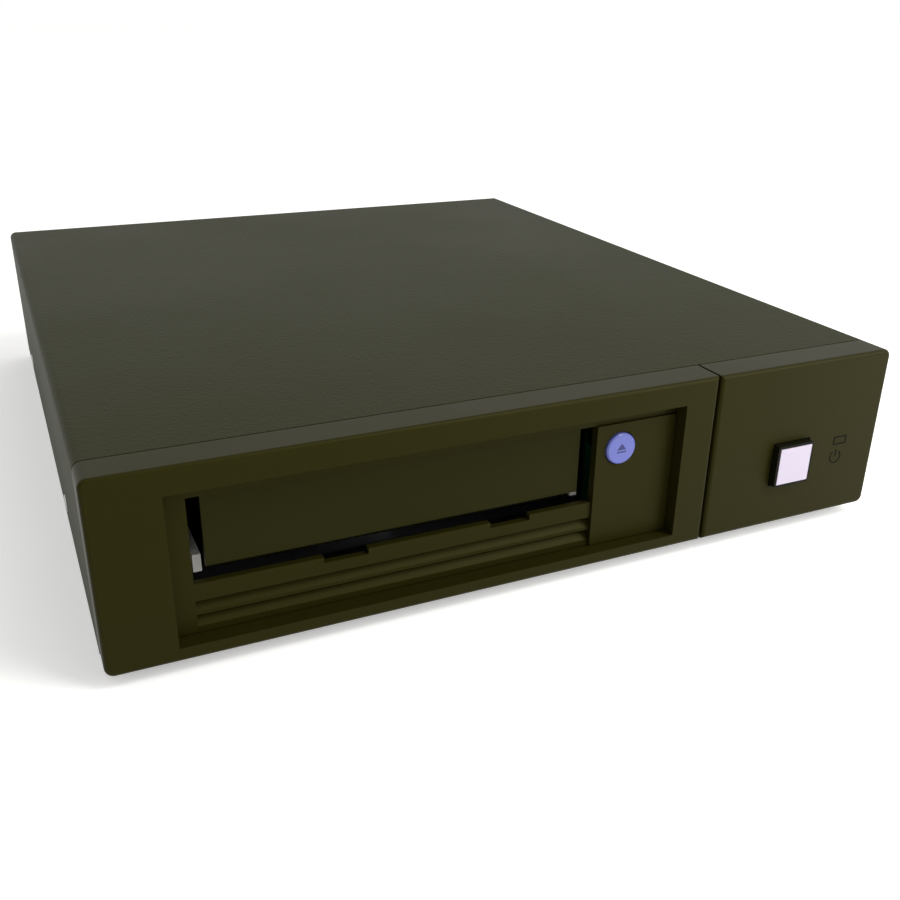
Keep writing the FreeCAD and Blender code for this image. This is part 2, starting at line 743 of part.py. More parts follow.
def make_inlet():
    """The mains inlet: a deep cavity with three blades."""
    x, z = inlet_at
    half_wide, half_tall = inlet_wide / 2, inlet_tall / 2
    shell = body("inlet")
    start = rear - steel - inlet_deep
    outer = rectangle(x - half_wide, z - half_tall, x + half_wide, z + half_tall)
    pad(shell, "inlet_block", "XZ", start, rear, outer)
    lip = 2
    flange = rectangle(x - half_wide - lip, z - half_tall - lip, x + half_wide + lip, z + half_tall + lip)
    pad(shell, "inlet_lip", "XZ", rear, rear + inlet_flange, flange)
    cut = 5
    cavity = [
        (x - half_wide + inlet_wall, z - half_tall + inlet_wall),
        (x + half_wide - inlet_wall, z - half_tall + inlet_wall),
        (x + half_wide - inlet_wall, z + half_tall - inlet_wall - cut),
        (x + half_wide - inlet_wall - cut, z + half_tall - inlet_wall),
        (x - half_wide + inlet_wall + cut, z + half_tall - inlet_wall),
        (x - half_wide + inlet_wall, z + half_tall - inlet_wall - cut),
    ]
    pocket(shell, "inlet_cavity", "XZ", start + 3, rear + inlet_flange, cavity)
    node(shell, "mains_inlet")
    blades = []
    for step, lift in ((-1, -2), (0, 2), (1, -2)):
        bx = x + step * blade_pitch
        blades.append(
            block(
                f"blade_{step + 1}",
                (bx - blade_thick / 2, bx + blade_thick / 2),
                (start + 3, rear - 2),
                (z + lift - blade_wide / 2, z + lift + blade_wide / 2),
            )
        )
    return node(group("inlet_blades", blades), "inlet_pins")


def make_fan():
    """A square axial fan against the rear wall, with its rotor and screws."""
    back = rear - steel
    start = back - fan_deep
    half = fan_side / 2
    frame = body("fan")
    outline = rectangle(fan_x - half, fan_z - half, fan_x + half, fan_z + half)
    pad(frame, "fan_block", "XZ", start, back, outline)
    pocket(frame, "fan_bore_cut", "XZ", start, back, (fan_x, fan_z, fan_bore))
    holes = [(fan_x + sx * fan_pitch, fan_z + sz * fan_pitch, fan_screw + pin_gap) for sx, sz in CORNERS]
    pocket(frame, "fan_holes", "XZ", start, back, *holes)
    strut = 2.4
    reach = fan_bore + 0.5
    pad(frame, "fan_motor_mount", "XZ", start, start + strut, (fan_x, fan_z, fan_hub))
    pad(frame, "fan_strut", "XZ", start, start + strut, rectangle(fan_x - reach, fan_z - 1.2, fan_x + reach, fan_z + 1.2))
    pad(frame, "fan_strut_up", "XZ", start, start + strut, rectangle(fan_x - 1.2, fan_z - reach, fan_x + 1.2, fan_z + reach))
    pad(frame, "fan_shaft", "XZ", start + strut, back - 3, (fan_x, fan_z, fan_pin))
    node(frame, "fan_frame")

    hub_y = (start + strut + 0.4, back - 1.2)
    hub = rod("fan_hub_solid", fan_hub, hub_y[1] - hub_y[0], fan_x, hub_y[0], fan_z, ALONG_Y)
    sweep = rod("fan_sweep", fan_bore - fan_tip_gap, hub_y[1] - hub_y[0] - 1, fan_x, hub_y[0] + 0.5, fan_z, ALONG_Y)
    blades = []
    count = 7
    for index in range(count):
        angle = 360 / count * index
        blade = doc.addObject("Part::Box", f"fan_blade_{index}")
        bind(blade, "Length", fan_bore)
        bind(blade, "Width", 1)
        bind(blade, "Height", fan_deep)
        pitch = Rotation(Vector(1, 0, 0), 50)
        around = Rotation(Vector(0, 1, 0), angle)
        turn = around * pitch
        centre = turn.multVec(Vector(0, -0.5, -fan_deep.value / 2))
        middle_y = (hub_y[0] + hub_y[1]) / 2
        place(blade, fan_x + centre.x, middle_y + centre.y, fan_z + centre.z, turn)
        blades.append(blade)
    ring = doc.addObject("Part::MultiCommon", "fan_blades_trimmed")
    ring.Shapes = [fused("fan_blades", *blades), sweep]
    bore = rod("fan_hub_bore", fan_pin + pin_gap, fan_deep, fan_x, start, fan_z, ALONG_Y)
    node(less("fan_rotor_solid", fused("fan_wheel", hub, ring), bore), "fan_rotor")

    screws = []
    for index, (sx, sz) in enumerate(CORNERS):
        x, z = fan_x + sx * fan_pitch, fan_z + sz * fan_pitch
        shank = rod(f"fan_shank_{index}", fan_screw, 9, x, rear - 9, z, ALONG_Y)
        head = rod(f"fan_head_{index}", fan_screw * 1.9, 1.2, x, rear, z, ALONG_Y)
        screws.append(fused(f"fan_screw_{index}", shank, head))
    return node(group("fan_screw_set", screws), "fan_screws")


def make_feet_and_screws():
    """Four rubber feet, and the flush screws that hold the cover to the tray."""
    feet = []
    for index, (sx, sy) in enumerate(CORNERS):
        foot = body(f"foot_{index}")
        profile = [
            (0, 0),
            (foot_radius - 1, 0),
            (foot_radius, 1),
            (foot_radius, foot_tall),
            (0, foot_tall),
        ]
        turned(foot, f"foot_{index}_turn", profile)
        place(foot, sx * (wide / 2 - foot_inset), sy * (deep / 2 - foot_inset), 0)
        feet.append(foot)
    node(group("feet", feet), "rubber_feet")
    screws = []
    for side in (-1, 1):
        for index, y in enumerate(cover_screw_y):
            name = f"cover_screw_{side + 1}_{index}"
            outer = side * (wide / 2 - 0.1)
            turn = ALONG_X if side < 0 else Rotation(Vector(0, 1, 0), -90)
            head = rod(name + "_head", cover_head, steel + slip - 0.1, outer, y, cover_screw_z, turn)
            shank = rod(name + "_shank", cover_shank, steel * 2 + slip + 0.3, outer, y, cover_screw_z, turn)
            screws.append(fused(name, head, shank))
    return node(group("cover_screw_set", screws), "cover_screws")


# Supply sizes

supply_deep = driving("supply_deep", SUPPLY_DEEP, "depth of the power supply")
supply_tall = driving("supply_tall", SUPPLY_TALL, "height of the power supply")
board_thick = driving("board_thick", BOARD_THICK, "thickness of a circuit board")


def make_supply():
    """An open-topped supply frame with a lid, its board and its larger components."""
    x = (right - supply_right - supply_wide, right - supply_right)
    y_rear = rear - steel - inlet_deep - 1
    y = (y_rear - supply_deep, y_rear)
    z = (tray_floor, tray_floor + supply_tall)
    case = body("supply")
    pad(case, "supply_block", "XY", z[0], z[1] - steel, rectangle(x[0], y[0], x[1], y[1]))
    inside = rectangle(x[0] + steel, y[0] + steel, x[1] - steel, y[1] - steel)
    pocket(case, "supply_inside", "XY", z[0] + steel, z[1] - steel, inside)
    pocket(case, "supply_wire_slot", "XZ", y[1] - steel, y[1], rectangle(x[0] + 20, z[0] + 12, x[0] + 48, z[0] + 24))
    node(case, "power_supply_case")
    lid = body("supply_top")
    pad(lid, "supply_top_sheet", "XY", z[1] - steel, z[1], rectangle(x[0], y[0], x[1], y[1]))
    slots = [
        rectangle(x[0] + 10, y[0] + 14 + step * 9, x[1] - 10, y[0] + 17 + step * 9)
        for step in range(6)
    ]
    pocket(lid, "supply_top_slots", "XY", z[1] - steel, z[1], *slots)
    node(lid, "power_supply_lid")
    board_z = (z[0] + steel + 4, z[0] + steel + 4 + board_thick)
    board = block("supply_board_sheet", (x[0] + 3, x[1] - 3), (y[0] + 4, y[1] - 4), board_z)
    posts = []
    for index, (sx, sy) in enumerate(CORNERS):
        px = (x[0] + x[1]) / 2 + sx * (supply_wide / 2 - 6)
        py = (y[0] + y[1]) / 2 + sy * (supply_deep / 2 - 8)
        posts.append(rod(f"supply_post_{index}", 2, 4, px, py, z[0] + steel))
    node(fused("supply_board_solid", board, *posts), "supply_board")
    top = board_z[1]
    pieces = [
        block("transformer", (x[0] + 12, x[0] + 38), (y[0] + 44, y[0] + 72), (top, top + 24)),
        block("heat_sink", (x[1] - 12, x[1] - 7), (y[0] + 14, y[0] + 90), (top, top + 28)),
        rod("bulk_capacitor", 9, 26, x[0] + 18, y[0] + 92, top),
        rod("output_capacitor_a", 5, 20, x[0] + 14, y[0] + 18, top),
        rod("output_capacitor_b", 5, 20, x[0] + 27, y[0] + 18, top),
        block("choke", (x[0] + 30, x[0] + 42), (y[0] + 84, y[0] + 100), (top, top + 16)),
    ]
    return node(group("supply_parts", pieces), "supply_components")


def make_face():
    """The drive's moulded face: slot, notched ledge, slanted vent slats and a raised button panel."""
    face = body("face")
    pad(face, "face_plate", "XZ", face_front, face_back, rectangle(face_x[0], face_z[0], face_x[1], face_z[1]))
    pad(face, "face_rim", "XZ", face_back, rim_back, rectangle(face_x[0], face_z[0], face_x[1], face_z[1]))
    side_rim = drive_wall + body_x[0] - face_x[0]
    inside = rectangle(face_x[0] + side_rim, face_z[0] + rim_wall, face_x[1] - side_rim, face_z[1] - rim_wall)
    pocket(face, "face_back_hollow", "XZ", face_back, rim_back, inside)
    panel = rectangle(slot_x[1], face_z[0], face_x[1], slot_z[1])
    pad(face, "face_panel", "XZ", face_front - panel_proud, face_front, panel)
    slot = rectangle(slot_x[0], slot_z[0], slot_x[1], slot_z[1])
    vent_low = face_z[0] + 0.6
    vent_top = slot_z[0] - ledge_tall
    pocket(face, "face_slot", "XZ", face_front - panel_proud, rim_back, slot)
    pocket(face, "face_vent", "XZ", face_front - panel_proud, rim_back, rectangle(slot_x[0], vent_low, slot_x[1], vent_top))
    notches = [
        rectangle(start, slot_z[0] - notch_deep, start + notch_wide, slot_z[0])
        for start in (slot_x[0] + notch_left, slot_x[0] + notch_right)
    ]
    pocket(face, "face_notches", "XZ", face_front - panel_proud, face_back, *notches)
    ledge = rectangle(slot_x[0], vent_top, slot_x[1], vent_top + 2)
    pad(face, "face_ledge_rib", "XZ", face_back, rim_back, ledge)
    for index in (0, 1):
        low = vent_low + index * slat_pitch
        slat = [
            (face_front + 0.3, low),
            (rim_back - 0.5, low),
            (rim_back - 0.5, low + slat_tall),
            (face_back, low + slat_tall),
            (face_front + 0.3, low + slat_lip),
        ]
        pad(face, f"face_slat_{index}", "YZ", slot_x[0] - 0.2, slot_x[1] + 0.2, slat)
    hole = (unload_at[0], unload_at[1], unload_radius + button_gap)
    pocket(face, "face_button_hole", "XZ", face_front - panel_proud, rim_back, hole)
    ear_y = (face_back, hinge_y + door_barrel + 0.4)
    ear_z = (hinge_z - door_barrel - 1, face_z[1] - drive_wall)
    ears = (
        (slot_x[0] - ear_thick - 0.5, slot_x[0] - 0.5),
        (slot_x[1] + 0.5, slot_x[1] + ear_thick + 0.5),
    )
    for index, (low, high) in enumerate(ears):
        pad(face, f"face_ear_{index}", "YZ", low, high, rectangle(ear_y[0], ear_z[0], ear_y[1], ear_z[1]))
        pocket(face, f"face_ear_bore_{index}", "YZ", low, high, (hinge_y, hinge_z, door_pin + pin_gap))
    return node(face, "drive_face")


def make_door():
    """The cartridge door, hung from its top edge on two moulded pins."""
    door = body("door")
    flap = rectangle(door_x[0], slot_z[0] + door_low, door_x[1], hinge_z)
    pad(door, "door_flap", "XZ", door_y[0], door_y[1], flap)
    barrel = (hinge_y, hinge_z, door_barrel)
    pad(door, "door_barrel_pad", "YZ", door_x[0], door_x[1], barrel)
    pin = (hinge_y, hinge_z, door_pin)
    pin_x = (slot_x[0] - ear_thick - 0.3, slot_x[1] + ear_thick + 0.3)
    pad(door, "door_pins", "YZ", pin_x[0], pin_x[1], pin)

    def lower_front(edge):
        at = middle(edge)
        return runs_along(edge, "x") and near(at.z, slot_z[0] + door_low)

    rounded(door, "door_lower_edge", 0.5, lower_front)
    return node(door, "cartridge_door")


def make_unload_button():
    """The round unload button, its flange behind the panel, and the switch that it works."""
    x, z = unload_at
    button = body("unload")
    length = panel_proud + unload_proud + face_wall
    profile = [
        (0, 0),
        (unload_radius - 0.4, 0),
        (unload_radius, 0.4),
        (unload_radius, length + 0.2),
        (unload_radius + 1, length + 0.2),
        (unload_radius + 1, length + 1),
        (1.5, length + 1),
        (1.5, length + 5),
        (0, length + 5),
    ]
    turned(button, "unload_turn", profile)
    place(button, x, face_front - panel_proud - unload_proud, z, ALONG_Y)
    node(button, "unload_button")
    stem_end = face_front - panel_proud - unload_proud + length + 5
    switch_front = stem_end + press_travel + 0.3
    base = block("unload_switch_base", (x - 3, x + 3), (switch_front + 0.6, switch_front + 4), (z - 3, z + 3))
    dome = rod("unload_switch_dome", 1.7, 0.6, x, switch_front, z, ALONG_Y)
    node(fused("unload_switch_solid", base, dome), "unload_switch")
    board_y = (switch_front + 4, switch_front + 4 + board_thick)
    board = block("front_board", (slot_x[1] + 5.4, body_x[1] - drive_wall), board_y, (floor_top, body_z[1] - 4))
    return node(board, "indicator_board")


def make_power_button():
    """The square power button: a black cap, a white lens, a stem and the push switch behind it."""
    x, z = power_at
    flange_front = button_front + power_deep
    back = flange_front + power_flange
    cap = body("power_cap")
    outline = rectangle(x - power_half, z - power_half, x + power_half, z + power_half)
    pad(cap, "power_cap_block", "XZ", button_front + 0.2, flange_front, outline)

    def side_corner(edge):
        return runs_along(edge, "y")

    rounded(cap, "power_cap_corners", 0.6, side_corner)
    wider = power_half + button_gap + 0.7
    flange = rectangle(x - wider, z - wider, x + wider, z + wider)
    pad(cap, "power_cap_flange", "XZ", flange_front, back, flange)
    lens_half = power_half - lens_margin
    lens = rectangle(x - lens_half, z - lens_half, x + lens_half, z + lens_half)
    pocket(cap, "power_cap_seat", "XZ", button_front, button_front + lens_thick, lens)
    pad(cap, "power_cap_stem", "XZ", back, back + 5, (x, z, power_stem))
    node(cap, "power_button_cap")
    snug = lens_half - pin_gap
    pane = rectangle(x - snug, z - snug, x + snug, z + snug)
    window = body("power_lens")
    pad(window, "power_lens_pane", "XZ", button_front, button_front + lens_thick, pane)
    node(window, "power_button_lens")
    switch_y = (back + power_travel + 0.5, back + 16)
    switch_half = switch_side / 2
    shell = block("power_switch_block", (x - switch_half, x + switch_half), switch_y, (z - switch_half, z + switch_half))
    bore = rod("power_switch_bore", power_stem + pin_gap, 6, x, switch_y[0], z, ALONG_Y)
    node(less("power_switch_shell", shell, bore), "power_switch")
    board = block("power_board_sheet", (x - 14, x + 14), (switch_y[1], switch_y[1] + board_thick), (tray_floor, z + 18))
    return node(board, "power_board")


# Mechanism sizes

carrier_slack = driving("carrier_slack", CARRIER_SLACK, "carrier narrower than the slot, at each side")
carrier_wall = driving("carrier_wall", CARRIER_WALL, "side walls of the cartridge carrier")
carrier_sheet = driving("carrier_sheet", CARRIER_SHEET, "floor of the cartridge carrier")
carrier_drop = driving("carrier_drop", CARRIER_DROP, "how far the carrier lowers a cartridge")
carrier_pin = driving("carrier_pin", CARRIER_PIN, "radius of the carrier's four guide pins")
carrier_pin_up = driving("carrier_pin_up", CARRIER_PIN_UP, "guide pins above the carrier's underside")
rail_wide = driving("rail_wide", RAIL_WIDE, "width of a white guide rail")
rail_tall = driving("rail_tall", RAIL_TALL, "height of a white guide rail")
slider_wall = driving("slider_wall", SLIDER_WALL, "plates of the cam slider")
slider_travel = driving("slider_travel", SLIDER_TRAVEL, "travel of the cam slider")
slider_tall = driving("slider_tall", SLIDER_TALL, "height of the cam slider's plates")
gear_module = driving("gear_module", GEAR_MODULE, "module of the loading gear and its rack")
gear_teeth = 16
gear_bore = driving("gear_bore", GEAR_BORE, "radius of the loading motor's shaft")
hub_radius = driving("hub_radius", HUB_RADIUS, "radius of the supply hub")
hub_back = driving("hub_back", HUB_BACK, "supply hub behind the drive's face")
reel_core = driving("reel_core", REEL_CORE, "radius of the take-up reel's core")
reel_left = driving("reel_left", REEL_LEFT, "take-up reel from the drive's left side")
tape_wide = driving("tape_wide", TAPE_WIDE, "width of the tape")
flange_thick = driving("reel_flange_thick", REEL_FLANGE_THICK, "flange of the take-up reel")
roller_radius = driving("roller_radius", ROLLER_RADIUS, "radius of a guide roller")
roller_pin = driving("roller_pin", ROLLER_PIN, "radius of a guide roller's pin")
head_rod = driving("head_rod", HEAD_ROD, "radius of the head's guide rods")
head_tall = driving("head_tall", HEAD_TALL, "height of the head")
arm_long = driving("arm_long", ARM_LONG, "length of the threading arm")
arm_thick = driving("arm_thick", ARM_THICK, "thickness of the threading arm")
arm_pin = driving("arm_pin", ARM_PIN, "radius of the threading arm's pivot")

hub_at = (slot_middle, face_front + hub_back)
reel_at = (body_x[0] + reel_left, drive_rear - reel_behind - reel_radius)
tape_z = floor_top + 13
carrier_x = (slot_x[0] + carrier_slack, slot_x[1] - carrier_slack)
carrier_y = (rim_back + carrier_back, rim_back + carrier_back + carrier_deep)
carrier_low = slot_z[0] - 0.3 - carrier_sheet
carrier_top = slot_z[0] + 14
pin_z = carrier_low + carrier_pin_up
PIN_Y = (carrier_y[0] + 18, carrier_y[0] + 78)
slider_left = body_x[0] + drive_wall + 0.6
slider_right = carrier_x[1] + 1.2
slider_y = (carrier_y[0] + 2, carrier_y[0] + 88)
slider_z = floor_top + 0.9
upright_x = (slider_right + slider_wall + 1.1, slider_right + slider_wall + 2.6)
rack_pitch_x = slider_right + slider_wall + 2.9
gear_at = (rack_pitch_x + gear_module * (gear_teeth / 2), carrier_y[0] + 48)
rack_z = (slider_z + 1, slider_z + 5)
board_post_y = (carrier_y[1] + 10.5, carrier_y[1] + 14.5, drive_rear - 8.5, drive_rear - 8.5)
board_post_x = (body_x[0] + 8, body_x[1] - 8, body_x[1] - 8, body_x[0] + 8)
BOARD_LOW = body_z[1] - 9
ROLLERS = ((52, 14.5), (68, 20.5), (68, 60.5), (50, 74.5))
HEAD = (72, 39.5)
ARM = (38, 42.5)
ARM_ANGLE = -55


def across(step):
    """A place across the drive, from its left side."""
    return body_x[0] + step


def beyond(step):
    """A place along the drive, from the carrier's rear."""
    return carrier_y[1] + step


def path_x(step):
    """A place along the tape's path, from the middle of the take-up reel."""
    return reel_at[0] + step


def make_drive_base():
    """The drive's cast base: floor, side walls, a rear wall, posts and the guide slots of the carrier's pins."""
    base = body("drive_base")
    start = rim_back
    pad(base, "base_block", "XY", body_z[0], body_z[1] - steel, rectangle(body_x[0], start, body_x[1], drive_rear))
    inside = rectangle(body_x[0] + drive_wall, start, body_x[1] - drive_wall, drive_rear - drive_wall)
    pocket(base, "base_inside", "XY", floor_top, body_z[1] - steel, inside)
    gate = rectangle(body_x[0] + 12, body_z[1] - 12, body_x[1] - 12, body_z[1] - steel)
    pocket(base, "base_connector_gate", "XZ", drive_rear - drive_wall, drive_rear, gate)
    posts = [(px, py, 2.5) for px, py in zip(board_post_x, board_post_y)]
    pad(base, "base_board_posts", "XY", floor_top, BOARD_LOW, *posts)
    uprights = [rectangle(upright_x[0], y - 8, upright_x[1], y + 8) for y in PIN_Y]
    pad(base, "base_uprights", "XY", floor_top, pin_z + 5, *uprights)
    half = carrier_pin + pin_gap
    for name, low, high in (("left", body_x[0], body_x[0] + drive_wall), ("right", upright_x[0], upright_x[1])):
        slots = [rectangle(y - half, pin_z - carrier_drop - half, y + half, pin_z + half) for y in PIN_Y]
        pocket(base, f"base_pin_slots_{name}", "YZ", low, high, *slots)
    return node(base, "drive_base")


def make_drive_top():
    """The lid of the drive."""
    lid = body("drive_lid")
    z = (body_z[1] - steel, body_z[1])
    pad(lid, "drive_lid_sheet", "XY", z[0], z[1], rectangle(body_x[0], rim_back, body_x[1], drive_rear))
    return node(lid, "drive_top_plate")


def make_carrier():
    """The cartridge carrier that lowers the cartridge onto the hub, with its two white guide rails."""
    x, y = carrier_x, carrier_y
    low = carrier_low
    carrier = body("carrier")
    outline = [
        (x[0], low),
        (x[1], low),
        (x[1], carrier_top),
        (x[1] - carrier_wall, carrier_top),
        (x[1] - carrier_wall, low + carrier_sheet),
        (x[0] + carrier_wall, low + carrier_sheet),
        (x[0] + carrier_wall, carrier_top),
        (x[0], carrier_top),
    ]
    pad(carrier, "carrier_channel", "XZ", y[0], y[1], outline)
    pocket(carrier, "carrier_hub_hole", "XY", low, low + carrier_sheet, (hub_at[0], hub_at[1], hub_radius + 7.5))
    pins = [(pin_y, pin_z, carrier_pin) for pin_y in PIN_Y]
    pad(carrier, "carrier_pins_left", "YZ", body_x[0] + 0.5, x[0], *pins)
    pad(carrier, "carrier_pins_right", "YZ", x[1], upright_x[1] - 0.5, *pins)
    node(carrier, "cartridge_carrier")
    rails = []
    inner = (x[0] + carrier_wall, x[1] - carrier_wall)
    z0 = low + carrier_sheet
    for side, span in enumerate(((inner[0], inner[0] + rail_wide), (inner[1] - rail_wide, inner[1]))):
        rails.append(block(f"rail_{side}", span, (y[0] - 3, y[1]), (z0, z0 + rail_tall)))
    return node(group("rails", rails), "carrier_guides")


def make_slider():
    """The cam slider: two plates with slanted slots, a cross strip, and the rack that the loading gear drives."""
    slider = body("slider")
    z = (slider_z, slider_z + slider_tall)
    left_x = (slider_left, slider_left + slider_wall)
    right_x = (slider_right, slider_right + slider_wall)
    cross_y = (slider_y[0], slider_y[0] + 6)
    pad(slider, "slider_strip", "XY", z[0], z[0] + slider_wall, rectangle(left_x[0], cross_y[0], right_x[1], cross_y[1]))
    for name, x in (("left", left_x), ("right", right_x)):
        pad(slider, f"slider_plate_{name}", "XY", z[0], z[1], rectangle(x[0], slider_y[0], x[1], slider_y[1]))
    slope = math.hypot(slider_travel.value, carrier_drop.value) / slider_travel.value
    half = (carrier_pin + pin_gap) * slope
    slots = []
    for y in PIN_Y:
        high_y, low_y = y + 1.8, y - slider_travel - 1.8
        high_z, low_z = pin_z + carrier_drop * 0.15, pin_z - carrier_drop * 1.15
        slots.append([(low_y, low_z - half), (high_y, high_z - half), (high_y, high_z + half), (low_y, low_z + half)])
    for name, x in (("left", left_x), ("right", right_x)):
        pocket(slider, f"slider_slots_{name}", "YZ", x[0], x[1], *slots)
    root = rack_pitch_x - gear_module * 1.25
    tip = rack_pitch_x + gear_module
    step = gear_module * math.pi
    first = gear_at[1] - step * 6.5
    bar = rectangle(right_x[1] - 0.2, first - step / 2, root, first + step * 7.5)
    pad(slider, "slider_rack_bar", "XY", rack_z[0], rack_z[1], bar)
    slope = math.tan(math.radians(20))
    half = gear_module * (math.pi / 4 - 0.08)
    wider, narrower = half + gear_module * (1.45 * slope), half - gear_module * slope
    tooth = [
        (root - gear_module * 0.2, first - wider),
        (tip, first - narrower),
        (tip, first + narrower),
        (root - gear_module * 0.2, first + wider),
    ]
    rack_tooth = pad(slider, "slider_rack_tooth", "XY", rack_z[0], rack_z[1], tooth)
    row = slider.newObject("PartDesign::LinearPattern", "slider_rack_teeth")
    row.Originals = [rack_tooth]
    row.Direction = (rack_tooth.Profile[0], ["V_Axis"])
    bind(row, "Length", step * 7)
    row.Occurrences = 8
    slider.Tip = row
    return node(slider, "cam_slider")


def tooth_outline():
    """One involute tooth on the X axis, whose every corner is a multiple of the module."""
    pitch = gear_teeth / 2
    pressure = math.radians(20)
    base = pitch * math.cos(pressure)
    involute = math.tan(pressure) - pressure
    flank = []
    for radius in (base + 0.02, pitch - 0.1, pitch + 0.45, pitch + 1):
        at = math.acos(base / radius)
        half = math.pi / (2 * gear_teeth) - 0.01 + involute - (math.tan(at) - at)
        flank.append((radius, half))
    profile = [(pitch - 1.5, -flank[0][1])] + [(r, -h) for r, h in flank]
    profile += [(r, h) for r, h in reversed(flank)] + [(pitch - 1.5, flank[0][1])]
    return [(gear_module * (r * math.cos(h)), gear_module * (r * math.sin(h))) for r, h in profile]


def make_loader():
    """The loading motor on its plate, and the gear that drives the slider's rack."""
    x, y = gear_at
    gear = body("gear")
    disc = pad(gear, "gear_disc", "XY", 0, 5, (0, 0, gear_module * (gear_teeth / 2 - 1.25)))
    tooth = pad(gear, "gear_tooth", "XY", 0, 5, tooth_outline())
    ring = gear.newObject("PartDesign::PolarPattern", "gear_teeth")
    ring.Originals = [tooth]
    ring.Axis = (disc.Profile[0], ["N_Axis"])
    ring.Angle = 360
    ring.Occurrences = gear_teeth
    gear.Tip = ring
    pocket(gear, "gear_bore_cut", "XY", 0, 5, (0, 0, gear_bore + pin_gap))
    low = slider_z + 0.5
    place(gear, x, y, low)
    node(gear, "loading_gear")
    plate_z = low + 5.6
    plate = block("motor_plate", (x - 5.5, body_x[1] - drive_wall - 0.3), (y - 13, y + 13), (plate_z, plate_z + 1))
    can = rod("motor_can", 7, 15, x, y, plate_z + 1)
    shaft = rod("motor_shaft", gear_bore, 6, x, y, plate_z - 6)
    posts = [
        rod(f"motor_post_{index}", 2, plate_z - floor_top, x + 9, y + dy, floor_top)
        for index, dy in enumerate((-9.5, 9.5))
    ]
    return node(fused("loader_solid", plate, can, shaft, *posts), "loading_motor")


def make_hub_and_reel():
    """The supply hub with its motor, and the take-up reel with its motor."""
    x, y = hub_at
    motor = body("hub_motor")
    turned(motor, "hub_motor_turn", [(0, 0), (24, 0), (24, 2), (12, 2), (12, 3), (2, 3), (2, 7.4), (0, 7.4)])
    place(motor, x, y, floor_top)
    node(motor, "hub_motor")
    hub = body("hub")
    low = 3.6
    gap = 2 + pin_gap
    profile = [(gap, low), (hub_radius, low), (hub_radius, low + 1.6), (16, low + 2.4), (16, low + 4.4), (gap, low + 4.4)]
    turned(hub, "hub_turn", profile)
    place(hub, x, y, floor_top)
    node(hub, "supply_hub")

    x, y = reel_at
    base_z = tape_z - flange_thick
    motor = body("reel_motor")
    up = base_z - floor_top
    high = flange_thick * 2 + tape_wide
    stack = [(0, 0), (26, 0), (26, up - 2), (8, up - 2), (8, up - 0.5), (3, up - 0.5), (3, up + high - 0.4), (0, up + high - 0.4)]
    turned(motor, "reel_motor_turn", stack)
    place(motor, x, y, floor_top)
    node(motor, "reel_motor")
    reel = body("reel")
    inner = 3 + pin_gap
    profile = [
        (inner, 0),
        (reel_radius, 0),
        (reel_radius, flange_thick),
        (reel_core, flange_thick),
        (reel_core, high - flange_thick),
        (reel_radius, high - flange_thick),
        (reel_radius, high),
        (inner, high),
    ]
    turned(reel, "reel_turn", profile)
    place(reel, x, y, base_z)
    return node(reel, "take_up_reel")


def make_rollers():
    """Four flanged guide rollers, each turning on its own pin."""
    pins = []
    for index, (px, py) in enumerate(ROLLERS):
        x, y = path_x(px), beyond(py)
        roller = body(f"roller_{index}")
        gap = roller_pin + pin_gap
        flange = roller_radius + 1.4
        high = tape_wide + 1
        profile = [
            (gap, 0),
            (flange, 0),
            (flange, 1),
            (roller_radius, 1),
            (roller_radius, high),
            (flange, high),
            (flange, high + 1),
            (gap, high + 1),
        ]
        turned(roller, f"roller_{index}_turn", profile)
        place(roller, x, y, tape_z - 1)
        node(roller, f"guide_roller_{index + 1}")
        post = rod(f"roller_post_{index}", 3.5, tape_z - 1.3 - floor_top, x, y, floor_top)
        pin = rod(f"roller_pin_{index}", roller_pin, tape_wide + 2.5, x, y, tape_z - 1.3)
        pins.append(fused(f"roller_pin_set_{index}", post, pin))
    return node(group("roller_pins", pins), "roller_pins")


def make_head():
    """The read and write head on two guide rods, moved up and down across the tape."""
    x, y = path_x(HEAD[0]), beyond(HEAD[1])
    half = 7
    rods = [
        rod(f"head_rod_{index}", head_rod, BOARD_LOW - 2.7 - floor_top, x + 9, y + dy, floor_top)
        for index, dy in enumerate((-half, half))
    ]
    foot = block("head_foot", (x + 4, x + 14), (y - 11, y + 11), (floor_top, floor_top + 4))
    node(fused("head_frame_solid", foot, *rods), "head_frame")
    low = tape_z + tape_wide / 2 - head_tall / 2
    carriage = block("head_carriage_block", (x + 5, x + 13), (y - 10, y + 10), (low, low + head_tall))
    nose = rod("head_nose", 3, head_tall, x + 3, y, low)
    holes = [
        rod(f"head_hole_{index}", head_rod + pin_gap, head_tall, x + 9, y + dy, low)
        for index, dy in enumerate((-half, half))
    ]
    return node(less("head_carriage_solid", fused("head_carriage_solid_block", carriage, nose), *holes), "head_carriage")


def make_threader():
    """The threading arm that draws the tape's leader pin from the cartridge round to the reel."""
    x, y = path_x(ARM[0]), beyond(ARM[1])
    post = rod("arm_post", arm_pin, BOARD_LOW - 0.5 - floor_top, x, y, floor_top)
    foot = rod("arm_post_foot", 5, 3, x, y, floor_top)
    node(fused("arm_pivot_solid", post, foot), "threader_pivot")
    z = BOARD_LOW - 0.8 - arm_thick
    arm = body("arm")
    outline = [(-5, -3.5), (0, -4.5), (arm_long, -2.5), (arm_long, 2.5), (0, 4.5), (-5, 3.5)]
    pad(arm, "arm_plate", "XY", 0, arm_thick, outline)
    pocket(arm, "arm_bore", "XY", 0, arm_thick, (0, 0, arm_pin + pin_gap))
    place(arm, x, y, z, Rotation(Vector(0, 0, 1), ARM_ANGLE))
    return node(arm, "threader_arm")


